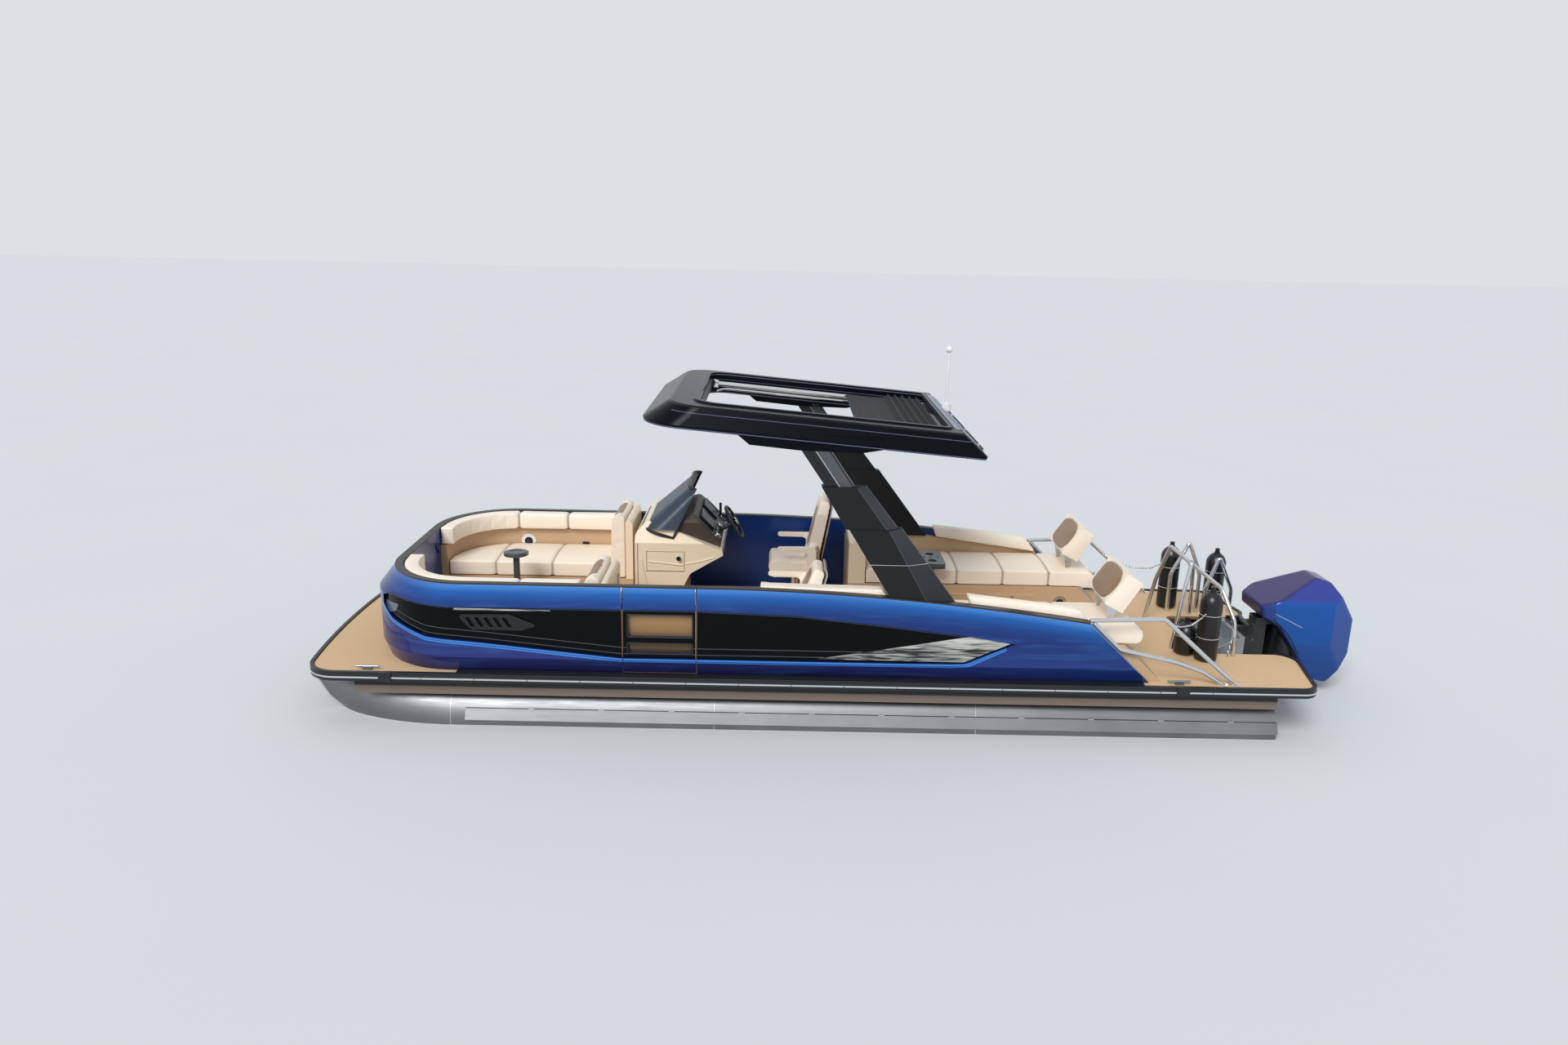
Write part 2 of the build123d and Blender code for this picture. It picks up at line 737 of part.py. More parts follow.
# Aft lounges: slanted tan ends in line with the fence's slant
lounge_side_y = fence_inner_y - side_clear
kick_top_x = lounge_kick_x - fence_end_slope * (seat_base_top - deck_top)
liner_break_x = -1175
liner_aft_x = lounge_kick_x + 605
liner_aft_z = 965
aft_bases = []
aft_cushions = []
lounge_end_x = starboard_lounge_forward_x - lounge_end_thickness
for side, forward_x, cushion_forward_x in (
    (1, port_lounge_forward_x, port_lounge_forward_x),
    (-1, starboard_lounge_forward_x, lounge_end_x - soft_gap),
):
    base_points = [
        (forward_x, deck_top),
        (forward_x, seat_base_top),
        (kick_top_x, seat_base_top),
        (lounge_kick_x, deck_top),
    ]
    y0, y1 = sorted((side * aisle_half_width, side * lounge_side_y))
    lounge = side_prism(base_points, y0, y1)
    liner_y0, liner_y1 = sorted((side * (lounge_side_y - liner_thickness), side * lounge_side_y))
    liner_points = [
        (forward_x, seat_base_top),
        (forward_x, liner_top),
        (liner_break_x, liner_top),
        (liner_aft_x, liner_aft_z),
        (liner_aft_x - 100, seat_base_top),
    ]
    aft_bases.append(lounge + side_prism(liner_points, liner_y0, liner_y1))
    y0, y1 = sorted((side * aisle_half_width, side * (lounge_side_y - liner_thickness - soft_gap)))
    cushion_points = [
        (cushion_aft_x, cushion_bottom),
        (cushion_forward_x, cushion_bottom),
        (cushion_forward_x, cushion_top),
        (cushion_aft_x, cushion_top),
    ]
    aft_cushions.append(side_prism(cushion_points, y0, y1, [60, 0, 40, 60]))
end_points = [
    (lounge_end_x, cushion_bottom),
    (starboard_lounge_forward_x, cushion_bottom),
    (starboard_lounge_forward_x, lounge_end_top),
    (lounge_end_x, lounge_end_top),
]
end_outer_y = lounge_side_y - bolster_thickness - soft_gap
lounge_ends.append(side_prism(end_points, -end_outer_y, -aisle_half_width, [0, 0, 30, 60]))
keep("lounge_ends", *lounge_ends)

# Aft bolsters: one ahead of the leg and one behind it, following the falling top of the fence
bolster_low_z = liner_top + soft_gap
aft_bolsters = []
for side, forward_x in ((1, 500), (-1, starboard_lounge_forward_x - 8)):
    y0, y1 = sorted((side * (lounge_side_y - bolster_thickness), side * lounge_side_y))
    ahead = [(forward_x, bolster_low_z), (forward_x, 1288), (-525, 1275), (-632, bolster_low_z)]
    behind = [
        (-1262, liner_top + 3),
        (-1222, 1226),
        (liner_aft_x + 120, 1120),
        (liner_aft_x, liner_aft_z + 4),
    ]
    aft_bolsters += [side_prism(points, y0, y1) for points in (ahead, behind)]
keep("aft_bolsters", *aft_bolsters)

# Chaise backs: padded slabs on hinge plates that turn on pins of the lounge bases
# x and z from the hinge to the corners, from the front foot round the back foot to the top
slab_rows = [(100, 130), (-70, 40), (-235, 315), (-90, 410)]
plate_rows = [(-22, -16), (22, -16), (50, 120), (-45, 75)]
slab_points = [(chaise_hinge_x + dx, chaise_hinge_z + dz) for dx, dz in slab_rows]
plate_points = [(chaise_hinge_x + dx, chaise_hinge_z + dz) for dx, dz in plate_rows]
bracket_thickness = 12
plate_thickness = 8
arm_half_width = 16
arm_clearance = 3
for name, side in (("chaise_back_port", 1), ("chaise_back_starboard", -1)):
    y0, y1 = sorted((side * chaise_inner_y, side * chaise_outer_y))
    back = side_prism(slab_points, y0, y1, [40, 40, 60, 60])
    for y in (chaise_inner_y + 110, chaise_outer_y - 110):
        plate_y = side * y + bracket_thickness / 2 + 1
        plate = side_prism(plate_points, plate_y, plate_y + plate_thickness, 12)
        bore_radius = chaise_pin_radius + running_gap
        back = back + plate - pin(chaise_hinge_x, side * y, chaise_hinge_z, bore_radius, 60)
    keep(name, back)
for index, side in enumerate((1, -1)):
    for y in (chaise_inner_y + 110, chaise_outer_y - 110):
        arm_x0 = chaise_hinge_x - arm_half_width
        arm_x1 = chaise_hinge_x + arm_half_width
        arm_y0 = side * y - bracket_thickness / 2
        arm_y1 = arm_y0 + bracket_thickness
        arm = block(arm_x0, arm_x1, arm_y0, arm_y1, seat_base_top, chaise_hinge_z)
        boss = pin(chaise_hinge_x, side * y, chaise_hinge_z, arm_half_width, bracket_thickness)
        hinge_pin = pin(chaise_hinge_x, arm_y1, chaise_hinge_z, chaise_pin_radius, 2 * bracket_thickness)
        aft_bases[index] = aft_bases[index] + arm + boss + hinge_pin
        slit_x0 = arm_x0 - arm_clearance
        slit_x1 = arm_x1 + arm_clearance
        slit = block(slit_x0, slit_x1, arm_y0 - arm_clearance, arm_y1 + arm_clearance, 0, far)
        aft_cushions[index] = aft_cushions[index] - slit
keep("aft_lounge_bases", *aft_bases)
keep("aft_seat_cushions", *aft_cushions)

# Helm console: forward-leaning nose, raked top and a chamfered port shoulder
console_points = [
    (1257, deck_top),
    (console_forward_x, deck_top),
    (console_forward_x, 1330),
    (1600, 1440),
    (1347, 1372),
    (880, 1200),
    (868, 1150),
    (1010, 1068),
    (1180, 965),
    (1257, 808),
]
console_radii = [0, 0, 60, 40, 40, 14, 14, 60, 80, 60]
console = side_prism(console_points, console_outer_y, console_inner_y, console_radii)
shoulder_points = [
    (console_outer_y, 0),
    (console_outer_y, far),
    (console_inner_y - 170, far),
    (console_inner_y - 170, 1480),
    (console_inner_y, 1260),
    (console_inner_y, 0),
]
console = console & front_prism(shoulder_points, 0, far)
lid_x0, lid_x1, lid_z0, lid_z1 = 1230, 1590, 980, 1180
console = console - block(lid_x0, lid_x1, console_inner_y - bin_depth, 0, lid_z0, lid_z1)
lid_y0 = console_inner_y - lid_thickness
lid_low_z = lid_z0 + lid_gap
lid_high_z = lid_z1 - lid_gap
lid = block(lid_x0 + lid_gap, lid_x1 - lid_gap, lid_y0, console_inner_y, lid_low_z, lid_high_z)
lid_low = lid.edges().filter_by(Axis.X).group_by(Axis.Z)[0]
lid = fillet(lid_low, lid_thickness / 2 - 0.1)
lid_hinge_y = console_inner_y - lid_thickness / 2
lid_hinge_z = lid_low_z + lid_thickness / 2
lid_middle_x = (lid_x0 + lid_x1) / 2
hinge_pin_length = lid_x1 - lid_x0 + 20
lid_pin = shaft(lid_middle_x, lid_hinge_y, lid_hinge_z, lid_pin_radius, hinge_pin_length)
lid_bore_radius = lid_pin_radius + running_gap
console = console - shaft(lid_middle_x, lid_hinge_y, lid_hinge_z, lid_bore_radius, hinge_pin_length + 1)
knob = pin(lid_x0 + 60, console_inner_y + 12, lid_z1 - 60, 12, 24)
keep("glovebox_lid", lid + lid_pin + knob)

# Steering wheel on a column that turns in the dash
rake = math.radians(wheel_rake)
wheel_plane = Plane(origin=(wheel_x, wheel_y, wheel_z), z_dir=(-math.cos(rake), 0, math.sin(rake)))
wheel = wheel_plane * Torus(wheel_radius, wheel_rim_radius)
spoke_bar = Pos(wheel_radius / 2, 0, 0) * Box(wheel_radius, 26, 10)
for spoke in range(3):
    wheel = wheel + wheel_plane * Rot(0, 0, 60 + spoke * 120) * spoke_bar
wheel = wheel + wheel_plane * Cylinder(40, 30)
column_place = wheel_plane * Pos(0, 0, -column_length / 2)
column = column_place * Cylinder(column_radius, column_length)
column_bore = column_place * Cylinder(column_radius + running_gap, column_length + 1)
keep("steering_wheel", wheel + column)
console = console - column_bore
keep("helm_console", console)

# Dash hood on the console's slope, with a screen face towards the helm
hood_points = [(1345, 1300), (1260, 1490), (1150, 1525), (890, 1250), (905, 1205)]
hood_outer_y = console_outer_y + 45
hood_inner_y = console_inner_y - 90
hood = side_prism(hood_points, hood_outer_y, hood_inner_y, [0, 60, 40, 12, 0])
hood_sides = [
    (hood_outer_y, 0),
    (hood_outer_y, 1400),
    (hood_outer_y + 100, 1540),
    (hood_inner_y - 80, 1540),
    (hood_inner_y, 1440),
    (hood_inner_y, 0),
]
hood = (hood & front_prism(hood_sides, 0, far)) - console - column_bore
keep("dash_hood", hood)


# Windshield: a raked pane that wraps round the dash on both sides
def screen_outline(z, front_x, half_width, radius):
    """Plan outline of the windshield at one level, closed far aft."""
    middle_y = (console_outer_y + console_inner_y) / 2
    points = [
        (0, middle_y - half_width, z),
        (front_x, middle_y - half_width, z),
        (front_x, middle_y + half_width, z),
        (0, middle_y + half_width, z),
    ]
    return make_face(FilletPolyline(points, radius=[0, radius, radius, 0], close=True))


# z, front x, half width, corner radius
screen_rows = [
    (1380, 1640, console_half_width - 32.5, 190),
    (1760, 1200, console_half_width - 132.5, 120),
]
outer_faces = []
inner_faces = []
for z, front_x, half_width, radius in screen_rows:
    outer_faces.append(screen_outline(z, front_x, half_width, radius))
    inner_x = front_x - 1.4 * screen_thickness
    inner_half_width = half_width - screen_thickness
    inner_faces.append(screen_outline(z, inner_x, inner_half_width, radius - screen_thickness))
outside = loft(outer_faces, ruled=True)
inside = loft(inner_faces, ruled=True)
wing_points = [(1340, 1300), (1700, 1300), (1700, 1900), (1100, 1900), (1130, 1745)]
wing_space = side_prism(wing_points, -far, far)
keep("windshield", ((outside - inside) & wing_space) - console - hood)

lever_x = 940
lever_y = console_outer_y + 165
lever_box = block(lever_x - 40, lever_x + 40, lever_y - 40, lever_y + 40, 1250, 1330)
lever = block(lever_x - 10, lever_x + 15, lever_y - 10, lever_y + 10, 1320, 1440)
keep("throttle_lever", fused([lever_box, lever]) - console - hood)

# Chairs on pedestals
pedestals = []
for x, y in ((helm_chair_x, helm_chair_y), (companion_chair_x, companion_chair_y)):
    foot = post(x, y, deck_top, deck_top + 20, 170)
    pedestals.append(foot + post(x, y, deck_top, pedestal_top, pedestal_radius))
keep("seat_pedestals", *pedestals)


def chair(x, y, half_width, back_top, seat_top):
    """Pedestal chair with a leaning back, side wings and two arms, facing the bow."""
    low_z = pedestal_top + soft_gap
    shell_z = pedestal_top + 30
    plate = block(x - 130, x + 130, y - 130, y + 130, low_z, shell_z)
    seat_points = [
        (x - 210, shell_z),
        (x + 240, shell_z),
        (x + 270, seat_top - 60),
        (x + 240, seat_top),
        (x - 210, seat_top - 25),
    ]
    seat = side_prism(seat_points, y - half_width, y + half_width, [50, 30, 30, 40, 0])
    back_points = [
        (x - 205, seat_top - 120),
        (x - 85, seat_top - 30),
        (x - 225, back_top),
        (x - 330, back_top - 25),
    ]
    back = side_prism(back_points, y - half_width, y + half_width, [20, 20, 45, 45])
    shoulder_z = back_top - 140
    plan_sides = [
        (y - half_width, 0),
        (y - half_width, shoulder_z),
        (y - half_width + 70, back_top + 10),
        (y + half_width - 70, back_top + 10),
        (y + half_width, shoulder_z),
        (y + half_width, 0),
    ]
    back = back & front_prism(plan_sides, -far, far)
    pieces = [plate, seat, back]
    for side in (-1, 1):
        y0, y1 = sorted((y + side * half_width, y + side * (half_width + 60)))
        arm_points = [
            (x - 210, seat_top - 120),
            (x - 120, seat_top - 120),
            (x - 100, seat_top + 90),
            (x + 180, seat_top + 100),
            (x + 190, seat_top + 150),
            (x - 200, seat_top + 155),
        ]
        pieces.append(side_prism(arm_points, y0, y1, [20, 20, 30, 20, 20, 40]))
    return fused(pieces)


keep("helm_chair", chair(helm_chair_x, helm_chair_y, 240, 1640, 1040))
keep("companion_chair", chair(companion_chair_x, companion_chair_y, 220, 1310, 1000))

# Tables: a small round one at the bow and a grey tray with cup bores between the aft lounges
cup_radius = 42
cup_depth = 40
bow_table_x, bow_table_y, bow_table_z = 2812, -100, 1125
tray_x, tray_y, tray_z = -1130, -400, 1040
bow_table = fused([
    post(bow_table_x, bow_table_y, deck_top, bow_table_z, 30),
    post(bow_table_x, bow_table_y, deck_top, deck_top + 16, 110),
    post(bow_table_x, bow_table_y, bow_table_z, bow_table_z + 24, 115),
])
tray_corners = [(-115, -230), (115, -230), (115, 230), (-115, 230)]
tray_points = [(tray_x + dx, tray_y + dy) for dx, dy in tray_corners]
tray_top = plan_prism(tray_points, tray_z, tray_z + 50, 35)
for cup_y in (tray_y - 110, tray_y + 110):
    tray_top = tray_top - post(tray_x, cup_y, tray_z + 50 - cup_depth, far, cup_radius)
tray_post_y = 80 - aisle_half_width
tray = fused([
    post(tray_x, tray_post_y, deck_top, tray_z, 30),
    post(tray_x, tray_post_y, deck_top, deck_top + 16, 70),
    tray_top,
])
keep("tables", bow_table, tray)

# Arch: hollow leaning sleeves in two stages, with legs that slide in them
lean = math.radians(arch_lean)
leg_dir = Vector(math.sin(lean), 0, math.cos(lean))


def sleeve_section(z, forward_x, split_x, aft_x, inset):
    """Level section of a sleeve: a chamfer runs from the split to the aft edge."""
    chamfer_y = sleeve_outer_y - 75
    points = [
        (forward_x, sleeve_inner_y + inset, z),
        (forward_x, sleeve_outer_y - inset, z),
        (split_x, sleeve_outer_y - inset, z),
        (aft_x, chamfer_y - inset, z),
        (aft_x, sleeve_inner_y + inset, z),
    ]
    return make_face(Polyline(points, close=True))


# z, forward x, split x, aft x, inset
lower_rows = [
    (sleeve_bottom_z, -644, -926, -1168, 0),
    (sleeve_seam_z, -222, -545, -655, 0),
]
upper_rows = [
    (sleeve_seam_z, -196, -522, -625, upper_sleeve_inset),
    (sleeve_top_z, 12, -276, -351, upper_sleeve_inset),
]
stages = []
for rows in (lower_rows, upper_rows):
    stages.append(loft([sleeve_section(*row) for row in rows], ruled=True))
sleeve = fused(stages)
leg_x_dir = (math.cos(lean), 0, -math.sin(lean))
leg_plane = Plane(origin=(leg_origin_x, arch_y, sleeve_top_z), x_dir=leg_x_dir, z_dir=leg_dir)
bore_section = Rectangle(leg_length + 2 * sleeve_play, leg_thickness + 2 * sleeve_play)
bore = extrude(leg_plane.offset(-bore_length) * bore_section, amount=bore_length + 200)
sleeve = sleeve - bore - (fence_wall & block(-far, far, 0, far, 0, far))
keep("arch_sleeves", *both_sides(sleeve))
leg_section = leg_plane.offset(-leg_inside) * Rectangle(leg_length, leg_thickness)
leg = extrude(leg_section, amount=leg_inside + leg_above)
channel_place = Pos(leg_length / 2 - 55, leg_thickness / 2)
channel = extrude(leg_plane.offset(10) * channel_place * Rectangle(12, 12), amount=leg_above)
leg = leg - channel

# Hardtop: a tilted ring moulding with a large opening and fairings over the legs
tilt = math.radians(roof_tilt)
roof_x_dir = (math.cos(tilt), 0, math.sin(tilt))
roof_normal = (-math.sin(tilt), 0, math.cos(tilt))
roof_plane = Plane(origin=(0, 0, roof_lip_z), x_dir=roof_x_dir, z_dir=roof_normal)


def roof_outline(height, aft_x, forward_x, half_width, front_radius, aft_radius):
    """Plan outline of the roof at a height above its lip, on the tilted plane."""
    points = [
        (aft_x, -half_width),
        (forward_x, -half_width),
        (forward_x, half_width),
        (aft_x, half_width),
    ]
    radii = [aft_radius, front_radius, front_radius, aft_radius]
    wire = FilletPolyline(points, radius=radii, close=True)
    return roof_plane.offset(height) * make_face(wire)


# height, aft x, forward x, half width, front corner radius, aft corner radius
roof_rows = [
    (0, roof_aft_x + 6, roof_forward_x - 8, roof_half_width - 8, 322, 36),
    (roof_edge_height, roof_aft_x, roof_forward_x, roof_half_width, 330, 40),
    (roof_height - 12, roof_aft_x + 185, roof_forward_x - 190, roof_half_width - 62, 285, 40),
    (roof_height, roof_aft_x + 200, roof_forward_x - 215, roof_half_width - 90, 270, 40),
]
roof_faces = [roof_outline(*row) for row in roof_rows]
roof = fused([loft(roof_faces[index : index + 2], ruled=True) for index in range(3)])
opening = (roof_opening_aft_x, roof_opening_forward_x, roof_opening_half_width)
opening_low = roof_outline(-200, *opening, 180, 60)
# height, reach aft, reach forward, reach sideways, front corner radius, aft corner radius
rim_rows = [(roof_height - 1, 45, 60, 55, 220, 80), (roof_height + 14, 30, 40, 38, 200, 70)]
rim_faces = []
for height, aft_reach, forward_reach, side_reach, front_radius, aft_radius in rim_rows:
    rim_aft_x = roof_opening_aft_x - aft_reach
    rim_forward_x = roof_opening_forward_x + forward_reach
    rim_half_width = roof_opening_half_width + side_reach
    rim_size = (rim_aft_x, rim_forward_x, rim_half_width)
    rim_faces.append(roof_outline(height, *rim_size, front_radius, aft_radius))
roof = roof + loft(rim_faces, ruled=True)
roof = roof - extrude(opening_low, amount=800, dir=roof_normal)
fairing_points = [(720, 2570), (600, 2470), (200, 2432), (-300, 2418), (-480, 2450), (-480, 2550)]
fairing = side_prism(fairing_points, arch_y - 75, arch_y + 40)
roof = fused([roof] + both_sides(fairing))
leg = (leg - roof).solids().sort_by(Axis.Z)[0]
keep("arch_legs", *both_sides(leg))
keep("hardtop_shell", roof)

# Rails inside the opening, and the sunshade folded back on them
rail_y = roof_opening_half_width - 60
roof_rails = []
for side in (-1, 1):
    start = roof_plane.from_local_coords((roof_opening_aft_x - 50, side * rail_y, roof_rail_height))
    rail_length = roof_opening_forward_x - roof_opening_aft_x + 60
    rail_place = Plane(origin=start, z_dir=roof_x_dir) * Pos(0, 0, rail_length / 2)
    rail = rail_place * Cylinder(roof_rail_radius, rail_length)
    roof_rails.append((rail - roof).solids().sort_by(SortBy.VOLUME)[-1])
keep("roof_rails", *roof_rails)
shade_half_width = rail_y - roof_rail_radius - soft_gap
shade_low = roof_rail_height + 10
shade_top = shade_low + shade_thickness
shade_points = [(shade_forward_x, shade_low), (shade_forward_x, shade_top), (shade_fold_x, shade_top)]
pleat_pitch = (shade_fold_x - shade_aft_x) / pleat_count
for index in range(pleat_count):
    x = shade_fold_x - index * pleat_pitch
    shade_points += [(x - 0.25 * pleat_pitch, shade_low + 12), (x - 0.75 * pleat_pitch, shade_low + 52)]
shade_end = [(shade_aft_x, shade_low + 15), (shade_aft_x, shade_low - 15)]
shade_points += shade_end + [(shade_fold_x, shade_low - 15)]
shade_outline = make_face(Polyline([(x, 0, z) for x, z in shade_points], close=True))
shade_start = Pos(0, -shade_half_width, 0) * shade_outline
shade = extrude(shade_start, amount=2 * shade_half_width, dir=(0, 1, 0))
keep("sunshade", Pos(0, 0, roof_lip_z) * Rot(0, -roof_tilt, 0) * shade)

pole_foot = roof_plane.from_local_coords((pole_x, pole_y, roof_height))
pole = post(pole_foot.X, pole_foot.Y, pole_foot.Z - 20, pole_foot.Z + 40, 45)
pole = pole + post(pole_foot.X, pole_foot.Y, pole_foot.Z, pole_foot.Z + pole_height, 12)
globe = Pos(pole_foot.X, pole_foot.Y, pole_foot.Z + pole_height + 15) * Sphere(30)
keep("nav_pole", pole + globe - roof)

# Stern rails: an upper run and a lower run from the top of each fence's slanted end
rail_root = (fence_aft_top_x - 5, stern_rail_y, fence_aft_top_z + rail_tube_radius)
upper_foot_x = fence_aft_top_x - 1306
lower_foot_x = fence_aft_top_x - 1201
upper_points = [
    rail_root,
    (fence_aft_top_x - 631, stern_rail_y, fence_aft_top_z + 40),
    (upper_foot_x, stern_rail_y, deck_top - 20),
]
edge_offset = rail_tube_radius + 6
edge_x = fence_aft_top_x - 1.4 * edge_offset
lower_turn_z = 800
lower_turn_x = edge_x + fence_end_slope * (fence_aft_top_z - lower_turn_z)
lower_points = [
    (edge_x, stern_rail_y, fence_aft_top_z),
    (lower_turn_x, stern_rail_y, lower_turn_z),
    (fence_aft_top_x - 761, stern_rail_y, 695),
    (fence_aft_top_x - 991, stern_rail_y, 615),
    (lower_foot_x, stern_rail_y, deck_top - 20),
]
below_deck = block(-far, far, -far, far, -far, deck_top)
upper_rail = tube_run(upper_points, rail_tube_radius, 90)
stern_rail = upper_rail + tube_run(lower_points, rail_tube_radius, [60, 150, 200])
for foot_x in (lower_foot_x, upper_foot_x):
    stern_rail = stern_rail + post(foot_x + 20, stern_rail_y, deck_top, deck_top + 8, 36)
stern_rail = (stern_rail - below_deck - fence_wall).solids().sort_by(SortBy.VOLUME)[-1]
keep("stern_rails", *both_sides(stern_rail))

# Fender racks: two crossed hoops over the deck ahead of the well, and two pointed hoops on the
# starboard wing
hoop_foot_z = deck_top - 30
crossed = [
    (well_forward_x + 250, -400, hoop_foot_z),
    (well_forward_x + 180, -355, 950),
    (well_forward_x + 100, -276, rack_apex_z),
    (well_forward_x - 170, 370, 1070),
    (well_forward_x - 245, 540, 820),
    (well_forward_x - 262, 564, hoop_foot_z),
]
hoop = tube_run(crossed, rail_tube_radius, [300, 12, 120, 120])
racks = [fused(both_sides(hoop)) - below_deck]
wing_hoop_y = -640
# distances aft of the well's forward edge: forward foot, aft foot, apex; height of the apex
for forward_reach, aft_reach, apex_reach, apex_z in ((60, 350, 216, 1225), (425, 685, 530, 1075)):
    forward_x = well_forward_x - forward_reach
    aft_x = well_forward_x - aft_reach
    wing_points = [
        (forward_x, wing_hoop_y, hoop_foot_z),
        (forward_x, wing_hoop_y, apex_z - 330),
        (well_forward_x - apex_reach, wing_hoop_y, apex_z),
        (aft_x, wing_hoop_y, apex_z - 330),
        (aft_x, wing_hoop_y, hoop_foot_z),
    ]
    racks.append(tube_run(wing_points, rail_tube_radius, [200, 12, 200]) - below_deck)
keep("fender_racks", *racks)


def fender(x, y, length):
    """Round fender standing on its end, with a domed top and an eye."""
    shoulder_z = length - 90
    eye_top = length + fender_eye_height
    body = [(0, 0), (fender_radius - 25, 0), (fender_radius, 25), (fender_radius, shoulder_z)]
    eye = [(fender_eye_radius, length), (fender_eye_radius, eye_top), (0, eye_top), (0, 0)]
    edges = [Line(body[index], body[index + 1]) for index in range(3)]
    edges.append(ThreePointArc(body[-1], (fender_radius - 35, length - 25), eye[0]))
    edges += [Line(eye[index], eye[index + 1]) for index in range(3)]
    profile = make_face([Plane.XZ * edge for edge in edges])
    return Pos(x, y, deck_top) * revolve(profile, Axis.Z)


# distance ahead of the well's forward edge, y, length
fender_rows = [(30, 660, 640), (-100, -790, 640), (165, 505, 300), (-560, -790, 580)]
keep("fenders", *[fender(well_forward_x + reach, y, length) for reach, y, length in fender_rows])

# Low cleats beside the breaks in the rub rail
cleats = []
for x in (3770, -3040):
    cleat_y = deck_half_beam - 55
    foot = block(x - 35, x + 35, cleat_y - 18, cleat_y + 18, deck_top, deck_top + 26)
    cleats += both_sides(foot + shaft(x, cleat_y, deck_top + 30, 10, 190))
keep("deck_cleats", *cleats)

# Motor bracket on the transom: a plate with two ears, bored for the tilt tube
ear_top_z = transom_top_z + 45
ear_reach_x = tilt_x - 35
ear_points = [
    (transom_x, bracket_bottom_z),
    (transom_x, ear_top_z),
    (ear_reach_x, ear_top_z),
    (ear_reach_x, tilt_z - 45),
    (transom_x - 60, bracket_bottom_z),
]
ear = side_prism(ear_points, bracket_half - bracket_plate, bracket_half, [0, 0, 30, 30, 20])
plate_x0 = transom_x - 20
plate_top_z = transom_top_z + 20
mounting_plate = block(plate_x0, transom_x, -bracket_half, bracket_half, bracket_bottom_z, plate_top_z)
ram_seat = pin(ram_base_x, bracket_half - 40, ram_base_z, ram_pin_radius, 50)
web_inner_y = bracket_half - bracket_plate
web_top_z = ram_base_z + 30
lower_web = block(ram_base_x - 20, transom_x, web_inner_y, bracket_half, bracket_bottom_z, web_top_z)
bracket_pieces = both_sides(ear) + [mounting_plate] + both_sides(lower_web) + both_sides(ram_seat)
tilt_bore = pin(tilt_x, 0, tilt_z, tilt_tube_radius + running_gap, 400)
keep("engine_bracket", fused(bracket_pieces) - tilt_bore)

# Swivel: tilt tube, steering head and the pins that the rams push
swivel_half = bracket_half - bracket_plate - 0.5
ram_eye_x, ram_eye_z = tilt_x - 20, tilt_z - 110
swivel_points = [
    (tilt_x, tilt_z + 30),
    (steer_x - 60, tilt_z + 30),
    (steer_x - 60, tilt_z - 460),
    (steer_x + 60, tilt_z - 460),
    (tilt_x + 10, tilt_z - 30),
]
swivel = fused([
    pin(tilt_x, 0, tilt_z, 34, 2 * swivel_half),
    pin(tilt_x, 0, tilt_z, tilt_tube_radius, 2 * bracket_half),
    side_prism(swivel_points, -70, 70, [0, 0, 30, 0, 60]),
])
swivel = swivel - post(steer_x, 0, 50, 750, steering_post_radius + running_gap)
for side in (-1, 1):
    swivel = swivel + pin(ram_eye_x, side * 76, ram_eye_z, ram_pin_radius, 21)
keep("engine_swivel", swivel)

# Tilt rams: a cylinder on the bracket and a rod whose eye goes round the swivel's pin
ram_length = math.hypot(ram_eye_x - ram_base_x, ram_eye_z - ram_base_z)
ram_dir = Vector((ram_eye_x - ram_base_x) / ram_length, 0, (ram_eye_z - ram_base_z) / ram_length)
rams = []
rods = []
for side in (-1, 1):
    ram_plane = Plane(origin=(ram_base_x, side * ram_y, ram_base_z), x_dir=(0, 1, 0), z_dir=ram_dir)
    barrel = ram_plane * Pos(0, 0, 113) * Cylinder(ram_radius, 200)
    barrel_eye = pin(ram_base_x, side * ram_y, ram_base_z, ram_radius - 1, 24)
    eye_bore = pin(ram_base_x, side * ram_y, ram_base_z, ram_pin_radius + ram_play, 60)
    ram = barrel + barrel_eye - eye_bore
    rams.append(ram - ram_plane * Pos(0, 0, 230) * Cylinder(ram_rod_radius + ram_play, 400))
    rod = ram_plane * Pos(0, 0, (36 + ram_length) / 2) * Cylinder(ram_rod_radius, ram_length - 36)
    rod = rod + pin(ram_eye_x, side * ram_y, ram_eye_z, 22, 20)
    rods.append(rod - pin(ram_eye_x, side * ram_y, ram_eye_z, ram_pin_radius + 2, 60))
keep("tilt_cylinders", *rams)
keep("tilt_rods", *rods)


# Motor leg: lens-shaped sections from the powerhead down to the gearcase
def lens(z, front_x, back_x, half_width):
    """Level section with a rounded middle that is sharp fore and aft."""
    middle = (front_x + back_x) / 2
    near = ThreePointArc((front_x, 0, z), (middle, half_width, z), (back_x, 0, z))
    other = ThreePointArc((back_x, 0, z), (middle, -half_width, z), (front_x, 0, z))
    return make_face([near, other])


# z, front x, back x, half width, from the powerhead down
leg_rows = [
    (640, steer_x - 92, steer_x - 470, 150),
    (240, steer_x - 92, steer_x - 450, 105),
    (-100, steer_x - 120, steer_x - 520, 62),
    (-480, steer_x - 190, steer_x - 570, 52),
]
leg_faces = [lens(*row) for row in leg_rows]
leg_body = fused([loft(leg_faces[index : index + 2], ruled=True) for index in range(3)])
